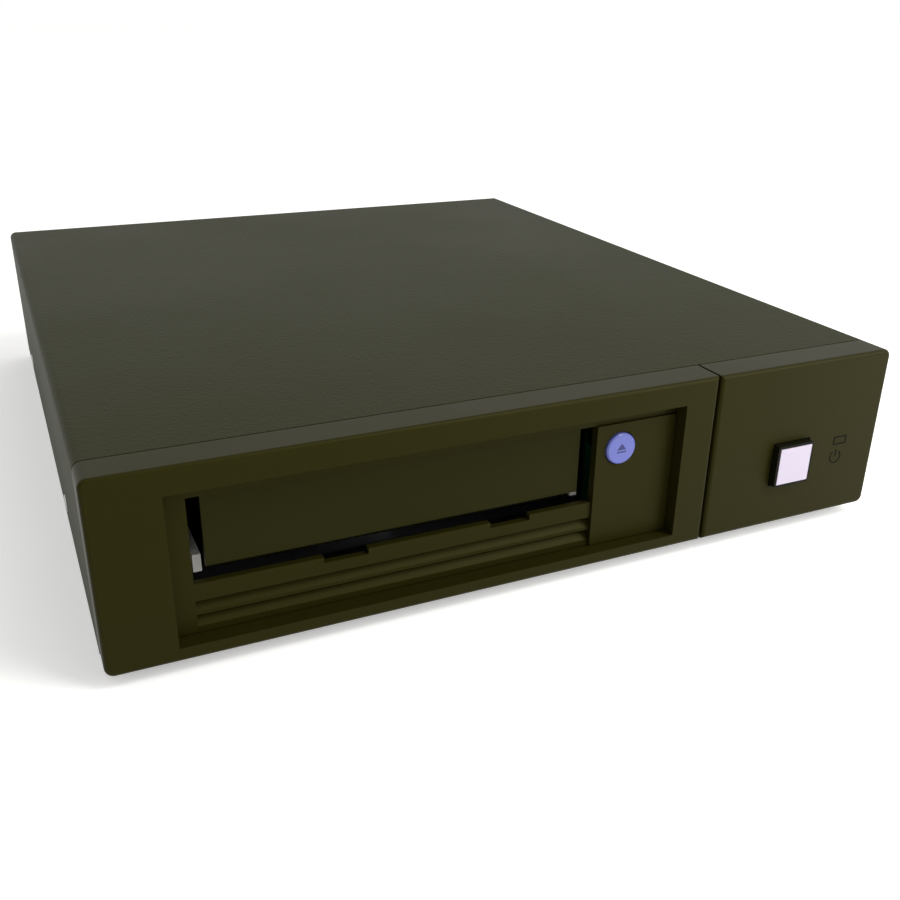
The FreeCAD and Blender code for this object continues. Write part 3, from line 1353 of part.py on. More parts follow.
def make_logic_board():
    """The drive's circuit board on its posts, its larger parts and its rear connectors."""
    z = (BOARD_LOW, BOARD_LOW + board_thick)
    x = (body_x[0] + 3, body_x[1] - 3)
    y = (beyond(7.5), drive_rear - drive_wall - 0.5)
    board = block("logic_sheet", x, y, z)
    node(board, "logic_board")
    top = z[1]
    chips = [
        block("processor", (across(40), across(64)), (beyond(32.5), beyond(56.5)), (top, top + 2.4)),
        block("memory", (across(78), across(94)), (beyond(38.5), beyond(50.5)), (top, top + 1.4)),
        block("driver_a", (across(104), across(116)), (beyond(16.5), beyond(28.5)), (top, top + 2)),
        block("driver_b", (across(104), across(116)), (beyond(60.5), beyond(72.5)), (top, top + 2)),
    ]
    node(group("chips", chips), "board_chips")
    sockets = [
        block("data_socket", (across(20), across(56)), (drive_rear - 6, drive_rear + 4), (top, top + 5)),
        block("power_socket", (across(100), across(122)), (drive_rear - 6, drive_rear + 4), (top, top + 5)),
    ]
    return node(group("sockets", sockets), "drive_connectors")


def wire(name, radius, points):
    """A round lead of straight runs joined by tangent arcs, as large as the runs allow."""
    ends = [Vector(*[as_size(v).value for v in p]) for p in points]
    edges = []
    start = ends[0]
    for before, corner, after in zip(ends, ends[1:], ends[2:]):
        first, second = (before - corner), (after - corner)
        trim = 0.45 * min(first.Length, second.Length)
        a = corner + first.normalize() * trim
        b = corner + second.normalize() * trim
        bisector = (first + second).normalize()
        half = first.getAngle(second) / 2
        reach = trim / math.cos(half)
        radius_of_arc = trim * math.tan(half)
        centre = corner + bisector * reach
        mid = centre - bisector * radius_of_arc
        edges.append(Part.LineSegment(start, a).toShape())
        edges.append(Part.Arc(a, mid, b).toShape())
        start = b
    edges.append(Part.LineSegment(start, ends[-1]).toShape())
    path = Part.Wire(edges)
    section = Part.Wire([Part.Circle(ends[0], ends[1] - ends[0], radius).toShape()])
    obj = doc.addObject("Part::Feature", name)
    obj.Shape = path.makePipeShell([section], True, True)
    return obj


def make_leads():
    """The data and power leads between the drive's rear connectors, the ports and the supply."""
    top = BOARD_LOW + board_thick + 2.5
    plug = drive_rear + 4
    x = port_middle(0) + 4
    port_level = port_z + port_tall / 2
    data = [
        (across(30), plug, top),
        (across(30), plug + 12, top),
        (x, plug + 20, port_level),
        (x, rear - port_deep, port_level),
    ]
    node(wire("data_lead_tube", 2.2, data), "data_lead")
    supply_left = right - supply_right - supply_wide
    power = [
        (across(112), plug, top),
        (across(112), plug + 12, top),
        (across(130), plug + 18, tray_floor + 27),
        (supply_left, plug + 18, tray_floor + 27),
    ]
    return node(wire("power_lead_tube", 2.2, power), "power_lead")


def make_brackets():
    """Two steel angles that carry the drive on the tray, and the screws through them."""
    bracket_y = (face_front + 60, drive_rear - 36.5)
    shanks = []
    for side in (-1, 1):
        edge = drive_middle + side * drive_wide / 2
        outer = edge + side * 1.5
        toe = edge + side * bracket_toe
        angle = body(f"bracket_{side + 1}")
        z = tray_floor
        outline = [
            (edge, z),
            (toe, z),
            (toe, z + 1.5),
            (outer, z + 1.5),
            (outer, z + 18),
            (edge, z + 18),
        ]
        pad(angle, f"bracket_{side + 1}_pad", "XZ", bracket_y[0], bracket_y[1], outline)
        hole_z = tray_floor + 13
        holes = [(bracket_y[0] + 12, hole_z, 1.6), (bracket_y[1] - 12, hole_z, 1.6)]
        low, high = (outer, edge) if side < 0 else (edge, outer)
        pocket(angle, f"bracket_{side + 1}_holes", "YZ", low, high, *holes)
        node(angle, "drive_bracket_left" if side < 0 else "drive_bracket_right")
        turn = Rotation(Vector(0, 1, 0), 90 * side)
        for index, (y, z_hole, _) in enumerate(holes):
            name = f"bracket_screw_{side + 1}_{index}"
            shank = rod(name + "_shank", 1.5, 1.5, edge, y, z_hole, turn)
            head = rod(name + "_head", 2.6, 1.4, outer, y, z_hole, turn)
            shanks.append(fused(name, shank, head))
    return node(group("bracket_screw_set", shanks), "bracket_screws")


def build():
    """Makes every sub-part in the order in which it goes into the enclosure."""
    make_tray()
    make_cover()
    make_bezel_left()
    make_bezel_right()
    make_feet_and_screws()
    make_ports()
    make_inlet()
    make_fan()
    make_supply()
    make_face()
    make_door()
    make_unload_button()
    make_power_button()
    make_drive_base()
    make_drive_top()
    make_carrier()
    make_slider()
    make_loader()
    make_hub_and_reel()
    make_rollers()
    make_head()
    make_threader()
    make_logic_board()
    make_leads()
    make_brackets()


def export():
    """Checks every object and sub-part, then writes one STEP file for each sub-part."""
    doc.recompute()
    for obj in doc.Objects:
        if "Invalid" in obj.State or "Error" in obj.State:
            raise ValueError(f"{obj.Name} failed to compute")
    for obj in nodes:
        if obj.Shape.isNull() or not obj.Shape.isValid():
            raise ValueError(f"{obj.Label} has no valid shape")
    os.makedirs("parts", exist_ok=True)
    for obj in nodes:
        obj.Shape.exportStep(f"parts/{obj.Label}.step")


build()
export()
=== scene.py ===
"""Finishes, printed signs and small fittings of a desktop data tape drive, in a plain studio."""

import json
import math

import bmesh
import bpy
from mathutils import Matrix, Vector


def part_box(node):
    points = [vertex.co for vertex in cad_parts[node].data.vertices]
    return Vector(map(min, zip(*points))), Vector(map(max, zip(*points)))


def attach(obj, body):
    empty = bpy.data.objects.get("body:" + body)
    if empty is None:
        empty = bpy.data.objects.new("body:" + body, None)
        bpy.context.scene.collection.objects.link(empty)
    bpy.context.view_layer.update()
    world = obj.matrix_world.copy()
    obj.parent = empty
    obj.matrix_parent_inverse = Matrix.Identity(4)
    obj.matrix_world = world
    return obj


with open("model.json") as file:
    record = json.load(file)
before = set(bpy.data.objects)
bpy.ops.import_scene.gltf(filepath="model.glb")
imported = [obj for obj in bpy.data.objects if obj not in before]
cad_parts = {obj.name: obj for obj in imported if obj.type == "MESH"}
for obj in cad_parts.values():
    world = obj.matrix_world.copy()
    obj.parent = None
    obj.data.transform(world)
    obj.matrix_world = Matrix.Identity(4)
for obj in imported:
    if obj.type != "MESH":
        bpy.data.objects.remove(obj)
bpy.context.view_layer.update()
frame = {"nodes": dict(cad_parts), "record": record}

bl_info = {
    "name": "Desktop data tape drive",
    "version": (1, 0, 0),
    "blender": (4, 5, 0),
    "location": "View3D > Sidebar > Tape drive",
    "description": "Dresses the tape drive in its finishes, signs and fittings, and sets up its studio",
    "category": "Object",
}

MM = 0.001
WHITE = (1, 1, 1, 1)

# The camera's place, the directions of its right, its top and its back, and its frame's millimetres
CAMERA_PLACE = (-0.13122, -0.35536, 0.15823)
CAMERA_RIGHT = (0.91036, -0.41359, 0.01358)
CAMERA_UP = (0.15907, 0.38005, 0.91119)
CAMERA_BACK = (-0.38202, -0.82735, 0.41177)
SENSOR_WIDE = 36

# Two square soft lights: a large one high at the right, and a smaller one low at the right
KEY_PLACE = (0.45, -0.62, 1.05)
KEY_SIZE = 0.36
SIDE_PLACE = (0.34, -0.42, 0.24)
SIDE_SIZE = 0.25
LIGHTS_AIM = (0, 0, 0.03)

# How far the floor reaches from the middle, how far what is seen of it is lifted towards white,
# and its paper's fibres, which are a little darker than the rest
FLOOR_REACH = 6
FLOOR_LIFT = 0.34
FIBRE_MM = 2
FIBRE_DARK = 0.985

# The unload sign's triangle is lower than an equal-sided one. It sits above the middle, its bar below
TRIANGLE_SQUASH = 0.7
TRIANGLE_RISE = 0.12
BAR_DROP = 0.3

# The power sign's ring is open for this many degrees each side of its top, and its bar is longer
# than the ring's radius
RING_GAP = 35
RING_STEPS = 36
RING_BAR = 1.1

CAP_SIDES = 40
CAP_RIM_STEPS = 3

# A surface's tone and gloss drift over about a hand's width, and its flecks are coarser than its grain
DRIFT_MM = 70
DRIFT_IN_GLOSS = 0.06
FLECK_PER_GRAIN = 2.5
FLECK_IN_TONE = 0.7

# A metal's cloudy tone, from dark to light, and how far its lines move its roughness down and up
METAL_CLOUD_MM = 25
METAL_DARK = 0.82
METAL_LIGHT = 1.08
METAL_SMOOTHER = 0.08
METAL_ROUGHER = 0.12


def linear(hex_colour):
    """An sRGB hex colour as linear red, green and blue."""
    parts = [int(hex_colour[i : i + 2], 16) / 255 for i in (1, 3, 5)]
    return tuple(c / 12.92 if c <= 0.04045 else ((c + 0.055) / 1.055) ** 2.4 for c in parts)


def colour(name, hex_colour, description):
    """A colour that a user can change."""
    return bpy.props.FloatVectorProperty(
        name=name,
        description=description,
        subtype="COLOR",
        size=3,
        min=0,
        max=1,
        default=linear(hex_colour),
    )


def length(name, millimetres, description):
    """A length that a user can change, shown in the scene's units."""
    return bpy.props.FloatProperty(
        name=name,
        description=description,
        subtype="DISTANCE",
        unit="LENGTH",
        min=0,
        default=millimetres * MM,
    )


class TapeDriveFinishes(bpy.types.PropertyGroup):
    """Colours of the drive's surfaces."""

    cover: colour("Cover paint", "#242510", "Textured charcoal paint of the steel cover")
    cover_gloss: colour("Cover gloss", "#ededbc", "Cast of the light that the cover reflects")
    front: colour("Front moulding", "#211f06", "Fine-grained charcoal plastic of the front")
    front_gloss: colour("Front gloss", "#ede7a0", "Cast of the light that the front reflects")
    door: colour("Door moulding", "#1f1e08", "Charcoal plastic of the cartridge door")
    black: colour("Black moulding", "#121209", "Satin black plastic")
    unload: colour("Unload button", "#6067af", "Pale violet-blue plastic of the unload button")
    lens: colour("Power lens", "#c6bccd", "Milky white lens of the power button")
    ink: colour("Printed ink", "#050504", "Black ink of the signs beside the power button")
    unload_ink: colour("Unload ink", "#2b2f66", "Dark blue ink of the sign on the unload button")
    white: colour("White moulding", "#e9e7dd", "White plastic of the guides and the loading gear")
    grey: colour("Grey moulding", "#54565a", "Grey plastic of the hub, the head and the components")
    zinc: colour("Zinc plating", "#a4a8aa", "Plated sheet steel")
    cast: colour("Die-cast", "#9b9ea1", "Die-cast aluminium")
    steel: colour("Turned steel", "#b6b6b4", "Turned and drawn steel")
    tin: colour("Tin plating", "#bdbcb4", "Shells of the data ports, and pads of the boards")
    brass: colour("Contact plating", "#c9a452", "Blades of the mains inlet")
    mask: colour("Solder mask", "#12482a", "Green solder mask of the circuit boards")
    rubber: colour("Rubber", "#171716", "Moulded rubber feet")
    floor: colour("Floor", "#f4f3f0", "Plain pale floor")


class TapeDriveSizes(bpy.types.PropertyGroup):
    """Sizes of the signs and fittings."""

    ink_thick: length("Ink thickness", 0.05, "How far printed ink stands on the surface")
    sign_line: length("Sign line", 0.42, "Width of a printed line")
    window_wide: length("Window sign width", 5.2, "Width of the hollow rectangle sign")
    window_tall: length("Window sign height", 2.9, "Height of the hollow rectangle sign")
    window_x: length("Window sign place", 107.2, "Rectangle sign to the right of the middle")
    window_z: length("Window sign level", 29.3, "Rectangle sign above the ground")
    power_wide: length("Power sign width", 4.6, "Width of the power sign")
    power_x: length("Power sign place", 106.4, "Power sign to the right of the middle")
    power_z: length("Power sign level", 23.6, "Power sign above the ground")
    unload_wide: length("Unload sign width", 3.1, "Width of the unload button's triangle and bar")
    screw_bevel: length("Screw rim", 0.3, "Rounding of a screw head's rim")
    cap_thick: length("Screw cap", 0.45, "Height of a screw's cap, which the cross cuts through")
    cross_long: length("Cross length", 3.0, "Length of each bar of a screw's cross")
    cross_wide: length("Cross width", 0.75, "Width of each bar of a screw's cross")


class TapeDriveStudio(bpy.types.PropertyGroup):
    """Light and camera of the studio."""

    key_power: bpy.props.FloatProperty(
        name="Key light",
        description="Power of the large soft light above",
        unit="POWER",
        min=0,
        default=5.0,
    )
    side_power: bpy.props.FloatProperty(
        name="Side light",
        description="Power of the soft light at the right",
        unit="POWER",
        min=0,
        default=1.2,
    )
    shade_left: bpy.props.FloatProperty(
        name="Left shade",
        description="Part of the even light that is left at the far left",
        min=0,
        default=0.35,
    )
    ambient: bpy.props.FloatProperty(
        name="Ambient",
        description="Strength of the even light from all round",
        min=0,
        default=0.72,
    )
    lens: bpy.props.FloatProperty(
        name="Lens",
        description="Focal length on a 36 mm frame",
        subtype="DISTANCE_CAMERA",
        min=1,
        default=40.388,
    )


class TapeDriveSettings(bpy.types.PropertyGroup):
    """All of the drive's settings."""

    finishes: bpy.props.PointerProperty(type=TapeDriveFinishes)
    sizes: bpy.props.PointerProperty(type=TapeDriveSizes)
    studio: bpy.props.PointerProperty(type=TapeDriveStudio)


def settings():
    """The settings of the scene that is open."""
    return bpy.context.scene.tape_drive


# Materials

# Filled by the finishes, and read by the signs and caps that are made after them
MATERIALS = {}


def add_node(tree, kind, inputs=None, **values):
    """Adds a node. Inputs are values or other nodes' sockets, and the rest are its own settings."""
    node = tree.nodes.new(kind)
    for name, value in values.items():
        setattr(node, name, value)
    for name, value in (inputs or {}).items():
        socket = node.inputs[name]
        if isinstance(value, bpy.types.NodeSocket):
            tree.links.new(value, socket)
        else:
            socket.default_value = value
    return node


def new_material(name, rough, metallic=0.0, **shader_values):
    """A material with its shader, its output and the piece's own coordinates."""
    material = bpy.data.materials.new(name)
    material.use_nodes = True
    tree = material.node_tree
    tree.nodes.clear()
    shader = add_node(tree, "ShaderNodeBsdfPrincipled", {"Roughness": rough, "Metallic": metallic})
    for socket, value in shader_values.items():
        shader.inputs[socket.replace("_", " ")].default_value = value
    add_node(tree, "ShaderNodeOutputMaterial", {"Surface": shader.outputs["BSDF"]})
    place = add_node(tree, "ShaderNodeTexCoord")
    return material, tree, shader, place.outputs["Object"]


def per_metre(millimetres):
    """The texture scale at which a pattern repeats every so many millimetres."""
    return 1000 / millimetres


def shade(rgb, factor=1.0):
    """A colour made lighter or darker, with alpha."""
    return (*(min(1, part * factor) for part in rgb), 1)


def finish_surface(tree, shader, base, height, strength, depth_mm, gloss=None):
    """Feeds a shader its colour, its relief and, if given, gloss: a pattern and two roughnesses."""
    relief = add_node(
        tree,
        "ShaderNodeBump",
        {"Height": height, "Strength": strength, "Distance": depth_mm * MM},
    )
    tree.links.new(base, shader.inputs["Base Color"])
    tree.links.new(relief.outputs["Normal"], shader.inputs["Normal"])
    if gloss:
        pattern, low, high = gloss
        uneven = add_node(
            tree, "ShaderNodeMapRange", {"Value": pattern, "To Min": low, "To Max": high}
        )
        tree.links.new(uneven.outputs["Result"], shader.inputs["Roughness"])


def grained(name, rgb, rough, grain_mm, depth_mm, mottle, **shader_values):
    """A moulded or painted surface: fine grain in relief, faint flecks, drifting tone and gloss."""
    material, tree, shader, place = new_material(name, rough, **shader_values)
    grain = add_node(
        tree,
        "ShaderNodeTexNoise",
        {"Vector": place, "Scale": per_metre(grain_mm), "Detail": 3.0, "Roughness": 0.6},
    )
    drift = add_node(
        tree,
        "ShaderNodeTexNoise",
        {"Vector": place, "Scale": per_metre(DRIFT_MM), "Detail": 4.0, "Roughness": 0.55},
    )
    fleck = add_node(
        tree,
        "ShaderNodeTexNoise",
        {"Vector": place, "Scale": per_metre(grain_mm * FLECK_PER_GRAIN), "Detail": 2.0},
    )
    dark, light = shade(rgb, 1 - mottle), shade(rgb, 1 + mottle)
    tone = add_node(
        tree,
        "ShaderNodeMix",
        {"Factor": drift.outputs["Fac"], "A": dark, "B": light},
        data_type="RGBA",
    )
    bright = shade(rgb, 1 + mottle * FLECK_IN_TONE)
    flecked = add_node(
        tree,
        "ShaderNodeMix",
        {"Factor": fleck.outputs["Fac"], "A": tone.outputs["Result"], "B": bright},
        data_type="RGBA",
    )
    finish_surface(
        tree,
        shader,
        base=flecked.outputs["Result"],
        height=grain.outputs["Fac"],
        strength=0.6,
        depth_mm=depth_mm,
        gloss=(drift.outputs["Fac"], rough - DRIFT_IN_GLOSS, rough + DRIFT_IN_GLOSS),
    )
    return material


def worked_metal(name, rgb, rough, stretch, line_mm, depth_mm):
    """A metal with fine lines along its stretched axis, as drawing, rolling or turning leaves them."""
    material, tree, shader, place = new_material(name, rough, metallic=1.0)
    run = add_node(tree, "ShaderNodeMapping", {"Vector": place, "Scale": stretch})
    along = run.outputs["Vector"]
    lines = add_node(
        tree,
        "ShaderNodeTexNoise",
        {"Vector": along, "Scale": per_metre(line_mm), "Detail": 4.0, "Roughness": 0.6},
    )
    cloud = add_node(
        tree,
        "ShaderNodeTexNoise",
        {"Vector": place, "Scale": per_metre(METAL_CLOUD_MM), "Detail": 3.0},
    )
    dark, light = shade(rgb, METAL_DARK), shade(rgb, METAL_LIGHT)
    tone = add_node(
        tree,
        "ShaderNodeMix",
        {"Factor": cloud.outputs["Fac"], "A": dark, "B": light},
        data_type="RGBA",
    )
    finish_surface(
        tree,
        shader,
        base=tone.outputs["Result"],
        height=lines.outputs["Fac"],
        strength=0.5,
        depth_mm=depth_mm,
        gloss=(lines.outputs["Fac"], rough - METAL_SMOOTHER, rough + METAL_ROUGHER),
    )
    return material


def circuit_board(name, mask, tin):
    """Solder mask over copper: raised tracks in a stepped grid, in millimetres, and tinned pads."""
    material, tree, shader, place = new_material(name, rough=0.35)
    tracks = add_node(
        tree,
        "ShaderNodeTexBrick",
        {
            "Vector": place,
            "Color1": shade(mask),
            "Color2": shade(mask, 0.8),
            "Mortar": shade(mask, 1.9),
            "Scale": per_metre(1),
            "Mortar Size": 0.18,
            "Brick Width": 5.5,
            "Row Height": 1.27,
        },
    )
    pads = add_node(tree, "ShaderNodeTexVoronoi", {"Vector": place, "Scale": per_metre(3.2)})
    dots = add_node(
        tree,
        "ShaderNodeMapRange",
        {"Value": pads.outputs["Distance"], "From Min": 0.17, "From Max": 0.13},
    )
    mixed = add_node(
        tree,
        "ShaderNodeMix",
        {"Factor": dots.outputs["Result"], "A": tracks.outputs["Color"], "B": shade(tin)},
        data_type="RGBA",
    )
    finish_surface(
        tree,
        shader,
        base=mixed.outputs["Result"],
        height=tracks.outputs["Fac"],
        strength=0.4,
        depth_mm=0.03,
    )
    return material


def make_materials():
    """Every finish, by the record's slot or by its own name."""
    tint = settings().finishes
    made = {}

    # Powder coat on steel: a grit like orange peel, half a millimetre across, breaks up the light.
    # It is drawn at 1.2 mm so that it shows. The paint reflects little, with an olive cast.
    made["painted_steel"] = grained(
        "powder_coated_steel",
        tint.cover,
        rough=0.55,
        grain_mm=1.2,
        depth_mm=0.3,
        mottle=0.22,
        Specular_IOR_Level=0.09,
        Specular_Tint=shade(tint.cover_gloss),
    )

    # Grained ABS: finer and smoother than the paint, so its edges catch a soft bright line.
    # Its grain of 0.3 mm is drawn at 0.8 mm so that it shows. The door is a little darker.
    front = {"rough": 0.42, "grain_mm": 0.8, "depth_mm": 0.04, "mottle": 0.1}
    front["Specular_IOR_Level"] = 0.1
    front["Specular_Tint"] = shade(tint.front_gloss)
    made["front_plastic"] = grained("fine_grained_abs", tint.front, **front)
    made["door_plastic"] = grained("fine_grained_abs_door", tint.door, **front)

    # Satin ABS: nearly smooth, so that a black part shows only its highlights. Like the grain of
    # the other plastics, its own is finer than a pixel, and is drawn coarse enough to show.
    made["black_plastic"] = grained(
        "satin_black_abs",
        tint.black,
        rough=0.38,
        grain_mm=0.4,
        depth_mm=0.01,
        mottle=0.12,
        Specular_IOR_Level=0.07,
    )

    # Polished ABS in violet-blue: smooth, with a soft gloss
    made["blue_plastic"] = grained(
        "polished_blue_abs",
        tint.unload,
        rough=0.3,
        grain_mm=0.6,
        depth_mm=0.004,
        mottle=0.04,
    )

    # Milky polycarbonate: light goes a little way in and comes out again
    made["lens_plastic"] = grained(
        "milky_polycarbonate",
        tint.lens,
        rough=0.28,
        grain_mm=0.6,
        depth_mm=0.003,
        mottle=0.02,
        Subsurface_Weight=0.15,
        Subsurface_Scale=0.002,
    )

    # Acetal: a waxy white with almost no grain
    made["white_plastic"] = grained(
        "moulded_acetal",
        tint.white,
        rough=0.36,
        grain_mm=0.6,
        depth_mm=0.006,
        mottle=0.04,
    )

    # Glass-filled nylon: grey, with a slightly rough skin
    made["grey_plastic"] = grained(
        "glass_filled_nylon",
        tint.grey,
        rough=0.5,
        grain_mm=0.5,
        depth_mm=0.02,
        mottle=0.12,
    )

    # Moulded rubber: dull and dark, with a bloom like talc
    made["rubber"] = grained(
        "moulded_rubber",
        tint.rubber,
        rough=0.8,
        grain_mm=0.7,
        depth_mm=0.04,
        mottle=0.2,
    )

    # Rolled and zinc-plated sheet: long faint lines from the rolls, along the sheet
    made["zinc_steel"] = worked_metal(
        "zinc_plated_sheet",
        tint.zinc,
        rough=0.36,
        stretch=(1, 0.06, 1),
        line_mm=0.5,
        depth_mm=0.008,
    )

    # Die-cast aluminium: no lines, but a fine dull skin
    made["cast_aluminium"] = worked_metal(
        "die_cast_aluminium",
        tint.cast,
        rough=0.5,
        stretch=(1, 1, 1),
        line_mm=0.7,
        depth_mm=0.03,
    )

    # Turned steel: tight rings that streak the highlight round the axis
    made["bright_steel"] = worked_metal(
        "turned_steel",
        tint.steel,
        rough=0.28,
        stretch=(0.2, 0.2, 1),
        line_mm=0.35,
        depth_mm=0.006,
    )

    # Tin over pressed steel: soft and silvery
    made["tinned_steel"] = worked_metal(
        "tinned_pressing",
        tint.tin,
        rough=0.33,
        stretch=(1, 0.2, 1),
        line_mm=0.5,
        depth_mm=0.006,
    )

    # Plated brass: warm, with draw lines along the blade
    made["brass_contact"] = worked_metal(
        "plated_brass",
        tint.brass,
        rough=0.25,
        stretch=(1, 0.1, 1),
        line_mm=0.3,
        depth_mm=0.004,
    )

    # Glass-fibre board under solder mask: green, with lighter tracks that stand up a little
    made["circuit_board"] = circuit_board("solder_masked_board", tint.mask, tint.tin)

    # Pad-printed ink: dense and a little duller than the plastic below
    ink = {"rough": 0.6, "grain_mm": 0.3, "depth_mm": 0.003, "mottle": 0.05}
    made["ink"] = grained("pad_printed_ink", tint.ink, Specular_IOR_Level=0.05, **ink)
    made["unload_ink"] = grained("pad_printed_blue_ink", tint.unload_ink, **ink)
    return made


# Mesh helpers


def finish_piece(bm, name, material, body):
    """Turns a bmesh into a piece at the origin that rides on a body."""
    bmesh.ops.recalc_face_normals(bm, faces=bm.faces)
    mesh = bpy.data.meshes.new(name)
    bm.to_mesh(mesh)
    bm.free()
    mesh.materials.append(MATERIALS[material])
    piece = bpy.data.objects.new(name, mesh)
    bpy.context.scene.collection.objects.link(piece)
    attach(piece, body)


def stand_up(bm, x, y, z):
    """Turns a flat drawing in the XY plane to face the front, and puts it in place."""
    turn = Matrix.Translation((x, y, z)) @ Matrix.Rotation(math.radians(90), 4, "X")
    bmesh.ops.transform(bm, matrix=turn, verts=bm.verts)


def thicken(bm, faces, depth):
    """Raises flat faces into a plate."""
    raised = bmesh.ops.extrude_face_region(bm, geom=faces)
    moved = [v for v in raised["geom"] if isinstance(v, bmesh.types.BMVert)]
    bmesh.ops.translate(bm, verts=moved, vec=(0, 0, depth))


def flat_bar(bm, x, y, wide, tall):
    """A flat rectangle about a point."""
    made = bmesh.ops.create_grid(bm, x_segments=1, y_segments=1, size=0.5)
    bmesh.ops.scale(bm, vec=(wide, tall, 1), verts=made["verts"])
    bmesh.ops.translate(bm, vec=(x, y, 0), verts=made["verts"])
    return list({face for vert in made["verts"] for face in vert.link_faces})


def cross_cap(bm, radius, sizes):
    """A screw's rounded cap in the XY plane, with a cross cut through it."""
    half, reach = sizes.cross_wide / 2, sizes.cross_long / 2
    quarter = ((half, half), (half, reach), (-half, reach))
    cross = []
    for turn in range(4):
        spin = Matrix.Rotation(math.radians(90 * turn), 3, "Z")
        cross += [bm.verts.new(spin @ Vector((x, y, 0))) for x, y in quarter]
    outline = [bm.edges.new(pair) for pair in zip(cross, cross[1:] + cross[:1])]
    ring = bmesh.ops.create_circle(bm, segments=CAP_SIDES, radius=radius)["verts"]
    outline += list({edge for vert in ring for edge in vert.link_edges})
    filled = bmesh.ops.triangle_fill(bm, use_beauty=True, edges=outline)
    flat = [item for item in filled["geom"] if isinstance(item, bmesh.types.BMFace)]
    thicken(bm, flat, sizes.cap_thick)

    # The rim is made of the raised edges that lie outside the cross
    high, out = sizes.cap_thick / 2, (radius + reach) / 2
    rim = [
        edge
        for edge in bm.edges
        if all(vert.co.z > high and vert.co.xy.length > out for vert in edge.verts)
    ]
    bmesh.ops.bevel(
        bm,
        geom=rim,
        offset=sizes.screw_bevel,
        affect="EDGES",
        segments=CAP_RIM_STEPS,
        profile=0.5,
        material=-1,
    )


# Operators


class TAPEDRIVE_OT_studio(bpy.types.Operator):
    """Set up the floor, the soft lights, the white surroundings and the camera"""

    bl_idname = "tape_drive.studio"
    bl_label = "Studio"

    def execute(self, context):
        scene = context.scene
        studio = settings().studio
        scene.view_settings.view_transform = "Standard"
        self.make_floor(scene)
        self.make_surroundings(scene, studio)
        self.make_light(scene, "key_light", KEY_PLACE, KEY_SIZE, studio.key_power)
        self.make_light(scene, "side_light", SIDE_PLACE, SIDE_SIZE, studio.side_power)
        self.make_camera(scene, studio)
        return {"FINISHED"}

    def seen_directly(self, tree):
        """1 for what the camera, a reflection or clear plastic sees, and 0 for light on surfaces."""
        path = add_node(tree, "ShaderNodeLightPath")
        seen = path.outputs["Is Camera Ray"]
        for ray in ("Is Glossy Ray", "Is Transmission Ray"):
            either = add_node(
                tree, "ShaderNodeMath", {0: seen, 1: path.outputs[ray]}, operation="MAXIMUM"
            )
            seen = either.outputs["Value"]
        return seen

    def make_floor(self, scene):
        """Matt paper, lifted to white where it is seen, which keeps the shadow that falls on it."""
        bm = bmesh.new()
        bmesh.ops.create_grid(bm, x_segments=1, y_segments=1, size=FLOOR_REACH)
        mesh = bpy.data.meshes.new("studio_floor")
        bm.to_mesh(mesh)
        bm.free()
        floor = bpy.data.objects.new("studio_floor", mesh)
        scene.collection.objects.link(floor)
        material, tree, shader, place = new_material("matt_paper", rough=0.9)
        mesh.materials.append(material)
        fibres = add_node(
            tree,
            "ShaderNodeTexNoise",
            {"Vector": place, "Scale": per_metre(FIBRE_MM), "Detail": 3.0},
        )
        rgb = settings().finishes.floor
        dark, light = shade(rgb, FIBRE_DARK), shade(rgb)
        tone = add_node(
            tree,
            "ShaderNodeMix",
            {"Factor": fibres.outputs["Fac"], "A": dark, "B": light},
            data_type="RGBA",
        )
        lift = add_node(
            tree,
            "ShaderNodeMath",
            {0: self.seen_directly(tree), 1: FLOOR_LIFT},
            operation="MULTIPLY",
        )
        shader.inputs["Emission Color"].default_value = WHITE
        tree.links.new(tone.outputs["Result"], shader.inputs["Base Color"])
        tree.links.new(lift.outputs["Value"], shader.inputs["Emission Strength"])

    def make_surroundings(self, scene, studio):
        """White where they are seen, and light on the object that falls off to the left."""
        world = scene.world or bpy.data.worlds.new("studio_world")
        scene.world = world
        world.use_nodes = True
        tree = world.node_tree
        tree.nodes.clear()
        toward = add_node(tree, "ShaderNodeTexCoord")
        parts = add_node(tree, "ShaderNodeSeparateXYZ", {"Vector": toward.outputs["Generated"]})
        dim = studio.ambient * studio.shade_left
        full = studio.ambient * 2 - dim
        falling = add_node(
            tree,
            "ShaderNodeMapRange",
            {"Value": parts.outputs["X"], "From Min": -1.0, "To Min": dim, "To Max": full},
        )
        seen = self.seen_directly(tree)
        level = add_node(
            tree,
            "ShaderNodeMapRange",
            {"Value": seen, "To Min": falling.outputs["Result"], "To Max": 1.0},
        )
        sky = add_node(
            tree,
            "ShaderNodeBackground",
            {"Color": WHITE, "Strength": level.outputs["Result"]},
        )
        add_node(tree, "ShaderNodeOutputWorld", {"Surface": sky.outputs["Background"]})

    def make_light(self, scene, name, place, size, power):
        """A square soft light that faces the object."""
        data = bpy.data.lights.new(name, "AREA")
        data.size = size
        data.energy = power
        light = bpy.data.objects.new(name, data)
        scene.collection.objects.link(light)
        light.location = place
        light.rotation_mode = "QUATERNION"
        away = Vector(place) - Vector(LIGHTS_AIM)
        light.rotation_quaternion = away.to_track_quat("Z", "Y")

    def make_camera(self, scene, studio):
        """The camera, above the drive and in front of its left half."""
        data = bpy.data.cameras.new("photo_camera")
        data.sensor_width = SENSOR_WIDE
        data.lens = studio.lens
        data.clip_start = 0.01
        camera = bpy.data.objects.new("photo_camera", data)
        scene.collection.objects.link(camera)
        axes = Matrix((CAMERA_RIGHT, CAMERA_UP, CAMERA_BACK)).transposed()
        camera.matrix_world = Matrix.Translation(CAMERA_PLACE) @ axes.to_4x4()
        scene.camera = camera


